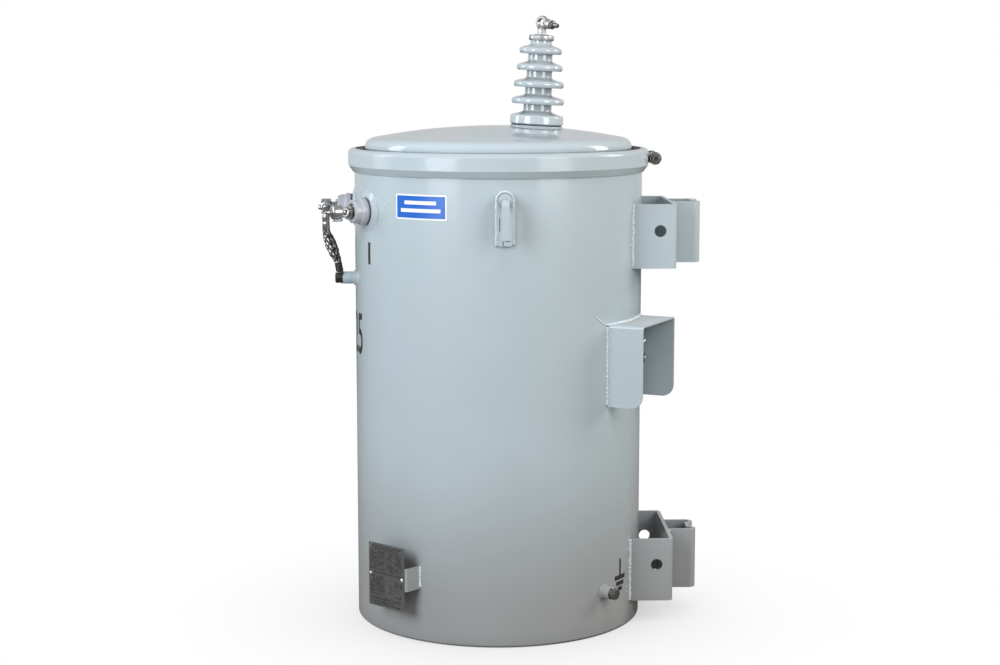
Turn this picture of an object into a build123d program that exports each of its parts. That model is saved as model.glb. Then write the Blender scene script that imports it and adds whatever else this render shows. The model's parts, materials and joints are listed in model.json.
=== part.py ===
"""Pole mounted distribution transformer, built as separate fitted pieces.

Millimetres. +Z is up, the origin is on the tank's axis at its base plane.
+Y is the pole side with the two brackets, -Y the low-voltage front,
+X the side with the tap changer hood. Angles are measured from +Y towards +X.
"""
from build123d import *
from math import asin, cos, degrees, radians, sin, sqrt
import os

# ---------------------------------------------------------------- tank, cover and clamp band
TANK_RADIUS = 254.0
TANK_WALL = 3.0
TANK_TOP_Z = 824.0
TANK_BOTTOM_THICKNESS = 5.0
TANK_BOTTOM_EDGE_RADIUS = 4.0
TANK_RIM_PROUD = 4.0
TANK_RIM_THICKNESS = 4.0
GASKET_WIDTH = 16.0
GASKET_THICKNESS = 3.0
COVER_SHEET = 3.0
COVER_RIM_WIDTH = 22.5
COVER_STEP_HEIGHT = 12.0
COVER_SHOULDER_WIDTH = 18.0
COVER_SHOULDER_HEIGHT = 12.0
COVER_SHOULDER_RADIUS = 11.0
COVER_STEP_BEND = 6.0
COVER_DOME_RISE = 20.0
BAND_PROUD = 11.0
BAND_SHEET = 2.6
BAND_BELOW_TOP = 29.5
BAND_ABOVE_COVER = 5.0
BAND_LIP_INSET = 2.0
BAND_TAPER_HEIGHT = 11.5
BAND_TAPER_START = 2.6
BAND_SHOULDER_HEIGHT = 7.5
BAND_SHOULDER_WIDTH = 8.0
BAND_SPLIT_WIDTH = 14.0
BAND_BARREL_RADIUS = 9.5
BAND_BARREL_LENGTH = 26.0
BAND_BOLT_RADIUS = 6.0
BAND_BOLT_FLATS = 19.0
BAND_BOLT_HEAD = 8.0
BAND_BOLT_TAIL = 22.0
BAND_BOLT_BELOW_TOP = 7.0

# ---------------------------------------------------------------- high-voltage bushing
HV_OFFSET_Y = 67.1
HV_PAD_RADIUS = 46.5
HV_PAD_RISE = 1.6
HV_PAD_EDGE = 1.2
HV_GASKET_RADIUS = 44.0
HV_GASKET_THICKNESS = 1.8
HV_HOLE_RADIUS = 25.0
HV_SHANK_RADIUS = 23.0
HV_SHANK_LENGTH = 40.0
HV_BASE_RADIUS = 47.0
HV_BASE_HEIGHT = 17.0
HV_BASE_EDGE = 4.0
HV_SHED_RADII = (46.2, 44.3, 40.3, 37.4)
HV_FIRST_SHED_Z = 41.6
HV_SHED_PITCH = 29.3
HV_CORE_RADIUS = 24.9
HV_CORE_STEP = 1.2
HV_SHED_RIM = 12.0
HV_SHED_SLOPE = 4.5
HV_ROOT_RADIUS = 5.0
HV_NECK_RADIUS = 18.5
HV_NECK_HEIGHT = 6.6
HV_CAP_RADIUS = 22.0
HV_CAP_HEIGHT = 9.5
HV_CAP_EDGE = 2.0
HV_STUD_RADIUS = 7.8
HV_STUD_LENGTH = 10.5
HV_EYE_RADIUS = 12.2
HV_EYE_WIDTH = 15.0
HV_EYE_HOLE_RADIUS = 6.3
HV_SOCKET_RADIUS = 8.5
HV_SOCKET_LENGTH = 6.0
HV_CLAMP_RADIUS = 4.3
HV_CLAMP_LENGTH = 30.0
HV_CLAMP_TILT_DEG = 8.0
HV_CLAMP_FLATS = 13.0
HV_CLAMP_NUT = 6.5

# ---------------------------------------------------------------- low-voltage bushings
LV_Z = 731.4
LV_SPREAD_DEG = 26.5
LV_PAD_RADIUS = 34.0
LV_PAD_PROUD = 3.5
LV_PAD_BORE = 19.0
LV_PAD_EDGE = 3.0
LV_GASKET_RADIUS = 22.4
LV_GASKET_THICKNESS = 2.5
LV_COLLAR_RADIUS = 23.5
LV_COLLAR_LENGTH = 10.0
LV_BODY_RADIUS = 20.3
LV_BODY_PROJECTION = 28.5
LV_EDGE_RADIUS = 1.6
LV_SHANK_RADIUS = 17.5
LV_INNER_LENGTH = 30.0
LV_RECESS_RADIUS = 15.5
LV_RECESS_DEPTH = 9.0
LV_STUD_RADIUS = 7.8
LV_STUD_CLEARANCE = 0.4
LV_STUD_TAIL = 8.0
LV_NUT_FLATS = 24.0
LV_NUT_THICKNESS = 9.0
LV_LOCKNUT_FLATS = 22.0
LV_LOCKNUT_THICKNESS = 5.0
LV_CLAMP_START = 38.0
LV_CLAMP_LENGTH = 29.0
LV_CLAMP_RADIUS = 7.2
LV_BARREL_OFFSET = 11.0
LV_BARREL_RADIUS = 12.0
LV_CLAMP_EDGE = 1.5
LV_EYE_OFFSET = 8.0
LV_EYE_RADIUS = 7.6
LV_EYE_WIDTH = 20.0
LV_EYE_HOLE_RADIUS = 4.2
LV_SADDLE_DROP = 13.6
LV_SADDLE_RADIUS = 2.3
LV_TIP_REACH = 11.0
LV_TIP_RADIUS = 2.8
LV_TIP_COLLAR = 3.8
CENTRE_EYE_OFFSET = 12.7
CENTRE_CLAMP_RADIUS = 9.5
CENTRE_CLAMP_SEAT = 9.4
CENTRE_CLAMP_FLANGE = 2.6
CENTRE_CLAMP_WIDTH = 21.0
CENTRE_BOLT_FLATS = 17.0
CENTRE_BOLT_HEAD = 6.0
CENTRE_BOLT_TIP_RADIUS = 4.4
CENTRE_TIP_REACH = 14.5

# ---------------------------------------------------------------- ground strap and bosses
GROUND_BOSS_RADIUS = 10.9
GROUND_BOSS_FOOT = 3.0
FRONT_BOSS_Z = 604.7
FRONT_BOSS_LENGTH = 22.5
REAR_BOSS_ANGLE = 45.5
REAR_BOSS_Z = 77.0
REAR_BOSS_LENGTH = 18.0
GROUND_BOLT_FLATS = 18.0
GROUND_BOLT_HEAD = 8.0
GROUND_BOLT_RADIUS = 6.0
GROUND_BOLT_DEPTH = 14.0
GROUND_WASHER_RADIUS = 10.2
GROUND_WASHER_THICKNESS = 2.0
STRAP_PALM_THICKNESS = 3.0
STRAP_PALM_WIDTH = 20.0
STRAP_BARREL_RADIUS = 6.5
STRAP_BARREL_OFFSET = 3.0
STRAP_BARREL_SHIFT = 1.0
STRAP_LOWER_BARREL_LENGTH = 15.0
STRAP_LOWER_TILT_DEG = 9.0
STRAP_LOWER_BARREL_GAP = 1.5
STRAP_UPPER_BARREL_LENGTH = 21.5
STRAP_CRIMP_LENGTH = 12.5
STRAP_CRIMP_RADIUS = 6.0
BRAID_WIDTH = 21.6
BRAID_DEPTH = 13.0

# ---------------------------------------------------------------- pole brackets
BRACKET_SPACING = 590.6
BRACKET_HOLE_Z = 104.9
BRACKET_PLATE = 6.35
BRACKET_WIDTH = 221.0
BRACKET_HEIGHT = 111.5
BRACKET_STANDOFF = 52.0
BRACKET_HOLE_RADIUS = 10.3
BRACKET_HOLE_INSET = 29.0
BRACKET_HOLE_DROP = 46.4
BRACKET_BEND_RADIUS = 9.0
HANGER_WIDTH = 76.0
HANGER_DEPTH = 49.4
HANGER_PLATE = 6.35
HANGER_SHORTER = 3.8
HANGER_BEND_RADIUS = 13.0
HANGER_NOTCH_DEPTH = 9.0
HANGER_NOTCH_LAND = 26.0
HANGER_NOTCH_MOUTH = 42.0
HANGER_SLOT_RADIUS = 10.3
HANGER_SLOT_LENGTH = 60.0

# ---------------------------------------------------------------- tap changer and hood
HOOD_ANGLE = 27.3
HOOD_DEPTH = 53.6
HOOD_WIDTH = 151.0
HOOD_TOP_Z = 542.0
HOOD_HEIGHT = 142.0
HOOD_SHEET = 3.0
HOOD_BEND_RADIUS = 5.0
HOOD_CORNER_RADIUS = 22.0
TAP_Z = 478.0
TAP_FLANGE_RADIUS = 24.0
TAP_FLANGE_LENGTH = 9.0
TAP_SHAFT_RADIUS = 6.0
TAP_SHAFT_INNER = 20.0
TAP_KNOB_RADIUS = 9.8
TAP_KNOB_LENGTH = 16.0
TAP_SCREW_RADIUS = 3.6
TAP_SCREW_PROUD = 4.0
TAP_LOCK_RISE = 28.0
TAP_LOCK_RADIUS = 4.5
TAP_LOCK_LENGTH = 24.0
TAP_LOCK_HEAD_RADIUS = 5.5
TAP_LOCK_HEAD = 5.0

# ---------------------------------------------------------------- lifting lugs
LUG_ANGLE = 89.1
LUG_PLATE_WIDTH = 26.0
LUG_PLATE_THICKNESS = 6.0
LUG_PLATE_LOWER_Z = 683.0
LUG_PLATE_HEIGHT = 90.0
LUG_EYE_RADIUS = 11.5
LUG_EYE_LENGTH = 9.0
LUG_EYE_DROP = 13.5
LUG_HOOK_WIDTH = 12.0
LUG_HOOK_THICKNESS = 12.0
LUG_HOOK_TOP_DROP = 12.0
LUG_HOOK_LENGTH = 66.0
LUG_HOOK_STANDOFF = 38.0
LUG_HOOK_BEND = 11.0

# ---------------------------------------------------------------- nameplate
PLATE_ANGLE = 133.7
PLATE_STANDOFF = 31.0
PLATE_WIDTH = 85.0
PLATE_LOWER_Z = 57.4
PLATE_HEIGHT = 110.7
PLATE_THICKNESS = 1.2
PLATE_CORNER = 3.0
PLATE_BRACKET_WIDTH = 91.0
PLATE_BRACKET_HEIGHT = 40.0
PLATE_BRACKET_SHEET = 2.5
PLATE_BRACKET_BEND = 5.0
PLATE_SCREW_RADIUS = 3.4
PLATE_SCREW_SHANK = 2.0
PLATE_SCREW_SPACING = 76.0
PLATE_SCREW_HEAD = 2.2
PLATE_SCREW_TAIL = 7.0

# ---------------------------------------------------------------- fits
SEAT = 0.2
HOLE_CLEARANCE = 0.3
PAST = 10.0

# ---------------------------------------------------------------- worked out from the above
COVER_RIM_Z = TANK_TOP_Z + GASKET_THICKNESS
COVER_LEDGE_Z = COVER_RIM_Z + COVER_SHEET
RIM_RADIUS = TANK_RADIUS + TANK_RIM_PROUD
STEP_RADIUS = RIM_RADIUS - COVER_RIM_WIDTH
STEP_TOP_Z = COVER_LEDGE_Z + COVER_STEP_HEIGHT
CROWN_RADIUS = STEP_RADIUS - COVER_SHOULDER_WIDTH
CROWN_Z = STEP_TOP_Z + COVER_SHOULDER_HEIGHT
COVER_TOP_Z = CROWN_Z + COVER_DOME_RISE
DOME_RADIUS = (CROWN_RADIUS ** 2 + COVER_DOME_RISE ** 2) / (2.0 * COVER_DOME_RISE)
DOME_CENTRE_Z = COVER_TOP_Z - DOME_RADIUS
BAND_RADIUS = TANK_RADIUS + BAND_PROUD
BAND_LOWER_Z = TANK_TOP_Z - BAND_BELOW_TOP
BAND_UPPER_Z = COVER_LEDGE_Z + BAND_ABOVE_COVER
BAND_BOLT_Y = BAND_RADIUS + BAND_BARREL_RADIUS + SEAT
BAND_BOLT_Z = TANK_TOP_Z - BAND_BOLT_BELOW_TOP
HV_SEAT_Z = DOME_CENTRE_Z + sqrt(DOME_RADIUS ** 2 - HV_OFFSET_Y ** 2)
HV_BASE_Z = HV_PAD_RISE + HV_GASKET_THICKNESS
HV_NECK_TOP = HV_BASE_Z + HV_FIRST_SHED_Z + 3.0 * HV_SHED_PITCH + HV_SHED_RIM / 2.0
HV_CAP_Z = HV_NECK_TOP + HV_SHED_SLOPE + HV_NECK_HEIGHT
HV_EYE_Z = HV_CAP_Z + HV_CAP_HEIGHT + HV_STUD_LENGTH + HV_EYE_RADIUS - 1.0
LV_ANGLES = (180.0 - LV_SPREAD_DEG, 180.0, 180.0 + LV_SPREAD_DEG)
LV_PAD_FACE = TANK_RADIUS + LV_PAD_PROUD
LV_COLLAR_START = LV_PAD_FACE + LV_GASKET_THICKNESS
LV_BODY_END = TANK_RADIUS + LV_BODY_PROJECTION
LV_EYE_R = TANK_RADIUS + LV_CLAMP_START + LV_EYE_OFFSET
CENTRE_EYE_R = TANK_RADIUS + LV_CLAMP_START + CENTRE_EYE_OFFSET
STRAP_UPPER_R = CENTRE_EYE_R + STRAP_BARREL_SHIFT
FRONT_BOSS_END = TANK_RADIUS + FRONT_BOSS_LENGTH
REAR_BOSS_END = TANK_RADIUS + REAR_BOSS_LENGTH
BRACKET_FACE_Y = TANK_RADIUS + BRACKET_STANDOFF
HANGER_FACE_Y = BRACKET_FACE_Y + SEAT + HANGER_DEPTH
HOOD_FACE = TANK_RADIUS + HOOD_DEPTH
PLATE_FACE = TANK_RADIUS + PLATE_STANDOFF
PLATE_MIDDLE_Z = PLATE_LOWER_Z + PLATE_HEIGHT / 2.0

os.makedirs("parts", exist_ok=True)


def save(name, shape):
    export_step(shape, "parts/" + name + ".step")


# ---------------------------------------------------------------- helpers
def at_angle(shape, angle, z=0.0):
    """Local +X points outward at the given angle, local Y is tangential, local +Z is up."""
    return Location((0, 0, z), (0, 0, 90.0 - angle)) * shape


def rod(radius, start, end, y=0.0, z=0.0):
    """Round bar along local +X from start to end."""
    plane = Plane(origin=(start, y, z), z_dir=(1, 0, 0))
    return extrude(plane * Circle(radius), end - start)


def cross_rod(radius, half_width, x=0.0, z=0.0):
    """Round bar along local Y, centred on it."""
    plane = Plane(origin=(x, -half_width, z), z_dir=(0, 1, 0))
    return extrude(plane * Circle(radius), 2.0 * half_width)


def post(radius, z0, z1, x=0.0, y=0.0):
    """Round bar along Z."""
    return Pos(x, y, (z0 + z1) / 2.0) * Cylinder(radius, z1 - z0)


def hexagon(flats):
    return RegularPolygon(flats / sqrt(3.0), 6)


def hex_bar(flats, start, end, y=0.0, z=0.0):
    """Hexagon bar along local +X from start to end, with its corners turned off."""
    plane = Plane(origin=(start, y, z), x_dir=(0, 1, 0), z_dir=(1, 0, 0))
    bar = extrude(plane * hexagon(flats), end - start)
    corner = flats / sqrt(3.0)
    chamfered = rod(corner, start, end, y, z)
    outer = chamfered.edges().filter_by(GeomType.CIRCLE).group_by(Axis.X)[-1]
    return bar & chamfer(outer, (corner - flats / 2.0) * 0.9)


def block(x0, x1, y0, y1, z0, z1):
    centre = ((x0 + x1) / 2.0, (y0 + y1) / 2.0, (z0 + z1) / 2.0)
    return Pos(*centre) * Box(x1 - x0, y1 - y0, z1 - z0)


def tank_body():
    """The tank's outside with the seat's clearance, to shape what stands on it."""
    return post(TANK_RADIUS + SEAT, -PAST, COVER_TOP_Z)


def ring(inner, outer, z0, z1):
    return post(outer, z0, z1) - post(inner, z0 - 1.0, z1 + 1.0)


def turned(curve):
    """Revolve a closed outline drawn in radius and height about Z."""
    return revolve(Plane.XZ * make_face(curve), Axis.Z)


# ---------------------------------------------------------------- tank
def tank_bottom():
    disc = post(TANK_RADIUS, 0.0, TANK_BOTTOM_THICKNESS)
    return fillet(disc.edges().group_by(Axis.Z)[0], TANK_BOTTOM_EDGE_RADIUS)


def tank_shell():
    inner = TANK_RADIUS - TANK_WALL
    shell = ring(inner, TANK_RADIUS, TANK_BOTTOM_THICKNESS, TANK_TOP_Z)
    shell += ring(inner, RIM_RADIUS, TANK_TOP_Z - TANK_RIM_THICKNESS, TANK_TOP_Z)
    cut_start = TANK_RADIUS - TANK_WALL - 3.0 * PAST
    cut_end = TANK_RADIUS + PAST
    for angle in LV_ANGLES:
        hole = rod(LV_PAD_RADIUS + HOLE_CLEARANCE, cut_start, cut_end)
        shell -= at_angle(hole, angle, LV_Z)
    shaft = rod(TAP_SHAFT_RADIUS + HOLE_CLEARANCE, cut_start, cut_end)
    return shell - at_angle(shaft, HOOD_ANGLE, TAP_Z)


# ---------------------------------------------------------------- cover and its clamp band
def cover_gasket():
    return ring(RIM_RADIUS - GASKET_WIDTH, RIM_RADIUS, TANK_TOP_Z, COVER_RIM_Z)


def cover_outline(inset):
    """Half outline of the pressed cover, stepped up from its rim to a shallow dome."""
    rim = Line((RIM_RADIUS, COVER_LEDGE_Z - inset), (STEP_RADIUS - inset, COVER_LEDGE_Z - inset))
    wall = Line(rim @ 1, (STEP_RADIUS - inset, STEP_TOP_Z - COVER_STEP_BEND))
    dome_r = DOME_RADIUS - inset
    crown = CROWN_RADIUS - inset * 0.4
    crown_z = DOME_CENTRE_Z + sqrt(dome_r ** 2 - crown ** 2)
    slope = (crown_z - DOME_CENTRE_Z, -crown)
    shoulder = Spline(wall @ 1, (crown, crown_z), tangents=((0, 1), (-slope[0], -slope[1])))
    middle = crown / 2.0
    middle_z = DOME_CENTRE_Z + sqrt(dome_r ** 2 - middle ** 2)
    dome = ThreePointArc((crown, crown_z), (middle, middle_z), (0, COVER_TOP_Z - inset))
    return Curve() + [rim, wall, shoulder, dome]


def cover():
    outside = cover_outline(0.0)
    inside = cover_outline(COVER_SHEET)
    rim_edge = Line((RIM_RADIUS, COVER_LEDGE_Z), (RIM_RADIUS, COVER_RIM_Z))
    centre = Line((0, COVER_TOP_Z), (0, COVER_TOP_Z - COVER_SHEET))
    pressed = turned(Curve() + [outside, inside, rim_edge, centre])
    pad = fillet(post(HV_PAD_RADIUS, -COVER_SHEET, HV_PAD_RISE).edges().group_by(Axis.Z)[-1], HV_PAD_EDGE)
    pad = hv_place(pad) - Pos(0, 0, DOME_CENTRE_Z) * Sphere(DOME_RADIUS - COVER_SHEET / 2.0)
    return pressed + pad - hv_place(post(HV_HOLE_RADIUS, -3.0 * PAST, PAST))


def band_section():
    """Rolled channel that wraps the rims of tank and cover."""
    b = BAND_SHEET
    seat = TANK_RADIUS + SEAT
    lip = TANK_RADIUS - BAND_LIP_INSET
    shoulder = BAND_RADIUS - BAND_SHOULDER_WIDTH
    flat_top = BAND_UPPER_Z - BAND_SHOULDER_HEIGHT
    flat_low = BAND_LOWER_Z + BAND_TAPER_HEIGHT
    lip_low = COVER_LEDGE_Z + SEAT
    outer_low = Polyline(
        (seat, BAND_LOWER_Z), (seat + BAND_TAPER_START, BAND_LOWER_Z),
        (BAND_RADIUS, flat_low), (BAND_RADIUS, flat_top))
    knuckle = ThreePointArc(
        (BAND_RADIUS, flat_top),
        (BAND_RADIUS - BAND_SHOULDER_WIDTH * 0.33, BAND_UPPER_Z - BAND_SHOULDER_HEIGHT * 0.3),
        (shoulder, BAND_UPPER_Z))
    lip_top = Polyline(
        (shoulder, BAND_UPPER_Z), (lip, BAND_UPPER_Z), (lip, lip_low), (lip + b, lip_low),
        (lip + b, BAND_UPPER_Z - b), (shoulder - 0.5, BAND_UPPER_Z - b))
    under = Polyline(
        (shoulder - 0.5, BAND_UPPER_Z - b), (BAND_RADIUS - b, flat_top - 0.5),
        (BAND_RADIUS - b, flat_low + 1.0), (seat, BAND_LOWER_Z + b), (seat, BAND_LOWER_Z))
    return Curve() + [outer_low, knuckle, lip_top, under]


def cover_band():
    band = turned(band_section())
    half = BAND_SPLIT_WIDTH / 2.0
    low = BAND_LOWER_Z - 1.0
    high = BAND_UPPER_Z + 1.0
    return band - block(-half, half, STEP_RADIUS, BAND_RADIUS + PAST, low, high)


def band_barrels():
    """A bored barrel welded to each end of the band for its draw bolt."""
    near = BAND_SPLIT_WIDTH / 2.0
    far = near + BAND_BARREL_LENGTH
    barrel = rod(BAND_BARREL_RADIUS, near, far, BAND_BOLT_Y, BAND_BOLT_Z)
    foot_y = BAND_RADIUS - 3.0
    web = block(near, far, foot_y, BAND_BOLT_Y, BAND_BOLT_Z - 5.0, BAND_BOLT_Z + 5.0)
    barrel += web
    barrel -= rod(BAND_BOLT_RADIUS + HOLE_CLEARANCE, near - 1.0, far + 1.0, BAND_BOLT_Y, BAND_BOLT_Z)
    barrel -= post(BAND_RADIUS + SEAT, BAND_LOWER_Z, BAND_UPPER_Z)
    return Compound([barrel, mirror(barrel, Plane.YZ)])


def band_bolt():
    face = BAND_SPLIT_WIDTH / 2.0 + BAND_BARREL_LENGTH + SEAT
    y = BAND_BOLT_Y
    z = BAND_BOLT_Z
    bolt = rod(BAND_BOLT_RADIUS, -face - BAND_BOLT_TAIL, face + 1.0, y, z)
    bolt += hex_bar(BAND_BOLT_FLATS, face, face + BAND_BOLT_HEAD, y, z)
    return bolt + hex_bar(BAND_BOLT_FLATS, -face - BAND_BOLT_HEAD, -face, y, z)


# ---------------------------------------------------------------- high-voltage bushing
def hv_place(shape):
    """Stand a piece on the dome, square to it, at the bushing's place."""
    tilt = degrees(asin(HV_OFFSET_Y / DOME_RADIUS))
    return Location((0, HV_OFFSET_Y, HV_SEAT_Z), (-tilt, 0, 0)) * shape


def hv_gasket():
    return hv_place(ring(HV_HOLE_RADIUS, HV_GASKET_RADIUS, HV_PAD_RISE, HV_BASE_Z))


def shed(z, radius, core_below, core_above):
    """Outline pieces of one shed, from the core below it to the core above it."""
    half = HV_SHED_RIM / 2.0
    root = HV_ROOT_RADIUS
    under = Line((core_below + 2.5, z - half + 1.0), (radius - 3.0, z - half))
    rim = ThreePointArc(under @ 1, (radius, z - half + 3.6), (radius - 2.6, z + half - 1.6))
    crown = Spline(
        rim @ 1, (core_above + root, z + half + HV_SHED_SLOPE - 2.0),
        (core_above, z + half + HV_SHED_SLOPE + 3.0), tangents=((-0.9, 0.45), (0, 1)))
    fillet_under = ThreePointArc(
        (core_below, z - half - 1.5), (core_below + 0.7, z - half + 0.3), under @ 0)
    return [fillet_under, under, rim, crown]


def hv_bushing():
    """Glazed porcelain with four sheds that shrink towards the cap."""
    base = HV_BASE_Z
    top = base + HV_BASE_HEIGHT
    e = HV_BASE_EDGE
    first_core = HV_CORE_RADIUS
    foot = Polyline(
        (0, base - HV_SHANK_LENGTH), (HV_SHANK_RADIUS, base - HV_SHANK_LENGTH),
        (HV_SHANK_RADIUS, base), (HV_BASE_RADIUS - 2.0, base), (HV_BASE_RADIUS, base + 2.0),
        (HV_BASE_RADIUS, top - e))
    edge = ThreePointArc((HV_BASE_RADIUS, top - e), (HV_BASE_RADIUS - 0.3 * e, top - 0.3 * e),
                         (HV_BASE_RADIUS - e, top))
    rise = Spline(
        (HV_BASE_RADIUS - e, top), (first_core + 6.0, top + 3.6), (first_core, top + 9.0),
        tangents=((-1, 0.12), (0, 1)))
    pieces = [foot, edge, rise]
    last = rise @ 1
    for index, radius in enumerate(HV_SHED_RADII):
        z = base + HV_FIRST_SHED_Z + index * HV_SHED_PITCH
        below = first_core - index * HV_CORE_STEP
        above = below - HV_CORE_STEP
        if index == len(HV_SHED_RADII) - 1:
            above = HV_NECK_RADIUS
        outline = shed(z, radius, below, above)
        pieces.append(Line(last, outline[0] @ 0))
        pieces.extend(outline)
        last = outline[-1] @ 1
    pieces.append(Polyline(last, (HV_NECK_RADIUS, HV_CAP_Z), (0, HV_CAP_Z), (0, base - HV_SHANK_LENGTH)))
    return hv_place(turned(Curve() + pieces))


def hv_cap():
    top = HV_CAP_Z + HV_CAP_HEIGHT
    cap = fillet(post(HV_CAP_RADIUS, HV_CAP_Z, top).edges(), HV_CAP_EDGE)
    return hv_place(cap)


def hv_terminal():
    """Stud with a wire eye and a bored socket for the clamp screw."""
    low = HV_CAP_Z + HV_CAP_HEIGHT
    eye = post(HV_STUD_RADIUS, low, HV_EYE_Z)
    half = HV_EYE_WIDTH / 2.0
    eye += rod(HV_EYE_RADIUS, -half, half, 0.0, HV_EYE_Z)
    socket_plane = Plane(origin=(0, 0, HV_EYE_Z), z_dir=hv_clamp_axis())
    reach = HV_EYE_RADIUS + HV_SOCKET_LENGTH
    eye += extrude(socket_plane * Circle(HV_SOCKET_RADIUS), reach, taper=8.0)
    eye -= rod(HV_EYE_HOLE_RADIUS, -half - 5.0, half + 5.0, 0.0, HV_EYE_Z)
    eye -= extrude(socket_plane * Circle(HV_CLAMP_RADIUS + HOLE_CLEARANCE), reach + PAST)
    return hv_place(eye)


def hv_clamp_axis():
    tilt = radians(HV_CLAMP_TILT_DEG)
    return (0, cos(tilt), -sin(tilt))


def hv_clamp_bolt():
    plane = Plane(origin=(0, 0, HV_EYE_Z), x_dir=(1, 0, 0), z_dir=hv_clamp_axis())
    start = HV_EYE_HOLE_RADIUS - 4.0
    screw = extrude(plane.offset(start) * Circle(HV_CLAMP_RADIUS), HV_CLAMP_LENGTH)
    nut = HV_EYE_RADIUS + HV_SOCKET_LENGTH + SEAT
    screw += extrude(plane.offset(nut) * hexagon(HV_CLAMP_FLATS), HV_CLAMP_NUT)
    return hv_place(screw)


# ---------------------------------------------------------------- low-voltage bushings
def three_around(shape):
    return Compound([at_angle(shape, angle, LV_Z) for angle in LV_ANGLES])


def lv_pads():
    """Flat-faced pads welded into the tank wall, one behind each bushing."""
    start = TANK_RADIUS - TANK_WALL - 5.0
    pad = rod(LV_PAD_RADIUS, start, LV_PAD_FACE)
    outer = pad.edges().filter_by(GeomType.CIRCLE).group_by(Axis.X)[-1]
    pad = fillet(outer, LV_PAD_EDGE)
    return three_around(pad - rod(LV_PAD_BORE, start - 1.0, LV_PAD_FACE + 1.0))


def lv_gaskets():
    seal = rod(LV_GASKET_RADIUS, LV_PAD_FACE, LV_COLLAR_START)
    return three_around(seal - rod(LV_PAD_BORE, LV_PAD_FACE - 1.0, LV_COLLAR_START + 1.0))


def lv_bushings():
    collar_end = LV_COLLAR_START + LV_COLLAR_LENGTH
    inner = TANK_RADIUS - LV_INNER_LENGTH
    collar = rod(LV_COLLAR_RADIUS, LV_COLLAR_START, collar_end)
    collar = fillet(collar.edges().filter_by(GeomType.CIRCLE), LV_EDGE_RADIUS)
    body = rod(LV_BODY_RADIUS, LV_COLLAR_START + 1.0, LV_BODY_END)
    body = fillet(body.edges().filter_by(GeomType.CIRCLE).group_by(Axis.X)[-1], LV_EDGE_RADIUS)
    moulding = collar + body + rod(LV_SHANK_RADIUS, inner, LV_COLLAR_START + 2.0)
    moulding -= rod(LV_RECESS_RADIUS, LV_BODY_END - LV_RECESS_DEPTH, LV_BODY_END + 1.0)
    bore = LV_STUD_RADIUS + LV_STUD_CLEARANCE
    return three_around(moulding - rod(bore, inner - 1.0, LV_BODY_END + 1.0))


def lv_studs():
    """Threaded stud with its clamping nut in the recess and a lock nut."""
    nut = LV_BODY_END - LV_RECESS_DEPTH + SEAT
    lock = nut + LV_NUT_THICKNESS
    inner = TANK_RADIUS - LV_INNER_LENGTH - LV_STUD_TAIL
    stud = rod(LV_STUD_RADIUS, inner, TANK_RADIUS + LV_CLAMP_START)
    stud += hex_bar(LV_NUT_FLATS, nut, lock)
    stud += hex_bar(LV_LOCKNUT_FLATS, lock, lock + LV_LOCKNUT_THICKNESS)
    return three_around(stud)


def outer_clamps():
    """Line clamps on the two outer studs: a cross eye, a clamping barrel, its screw and saddle."""
    start = TANK_RADIUS + LV_CLAMP_START
    barrel_start = start + LV_BARREL_OFFSET
    end = start + LV_CLAMP_LENGTH
    barrel = rod(LV_BARREL_RADIUS, barrel_start, end)
    barrel = chamfer(barrel.edges().filter_by(GeomType.CIRCLE), LV_CLAMP_EDGE)
    clamp = barrel + rod(LV_CLAMP_RADIUS, start, barrel_start + 1.0)
    clamp += cross_rod(LV_EYE_RADIUS, LV_EYE_WIDTH / 2.0, LV_EYE_R)
    clamp += rod(LV_SADDLE_RADIUS, barrel_start - 2.0, end - 3.0, 0.0, -LV_SADDLE_DROP)
    clamp += rod(LV_TIP_COLLAR, end - 1.0, end + LV_TIP_REACH / 2.0)
    clamp += rod(LV_TIP_RADIUS, end, end + LV_TIP_REACH)
    clamp -= cross_rod(LV_EYE_HOLE_RADIUS, LV_EYE_WIDTH, LV_EYE_R)
    return Compound([at_angle(clamp, LV_ANGLES[0], LV_Z), at_angle(clamp, LV_ANGLES[2], LV_Z)])


def centre_clamp():
    """Clamp on the middle stud, bolted across, from above and from its end."""
    start = TANK_RADIUS + LV_CLAMP_START
    half = CENTRE_CLAMP_WIDTH / 2.0
    x = CENTRE_EYE_R
    clamp = cross_rod(CENTRE_CLAMP_RADIUS, half, x)
    clamp = fillet(clamp.edges().filter_by(GeomType.CIRCLE), LV_CLAMP_EDGE)
    clamp += rod(LV_CLAMP_RADIUS, start, x)
    clamp += post(CENTRE_CLAMP_RADIUS, -CENTRE_CLAMP_SEAT - CENTRE_CLAMP_FLANGE, -CENTRE_CLAMP_SEAT, x)
    clamp += post(CENTRE_BOLT_TIP_RADIUS, -CENTRE_CLAMP_SEAT - 1.0, 0.0, x)
    clamp += rod(CENTRE_BOLT_TIP_RADIUS, x, x + CENTRE_TIP_REACH)
    top = Plane(origin=(x, 0, CENTRE_CLAMP_RADIUS - 2.0))
    clamp += extrude(top * hexagon(CENTRE_BOLT_FLATS), CENTRE_BOLT_HEAD)
    for side in (-1, 1):
        plane = Plane(origin=(x, side * half, 0), x_dir=(1, 0, 0), z_dir=(0, side, 0))
        clamp += extrude(plane * hexagon(CENTRE_BOLT_FLATS), CENTRE_BOLT_HEAD)
        clamp += extrude(plane * Circle(CENTRE_BOLT_TIP_RADIUS), CENTRE_BOLT_HEAD + 2.5)
    return at_angle(clamp, LV_ANGLES[1], LV_Z)


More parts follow.
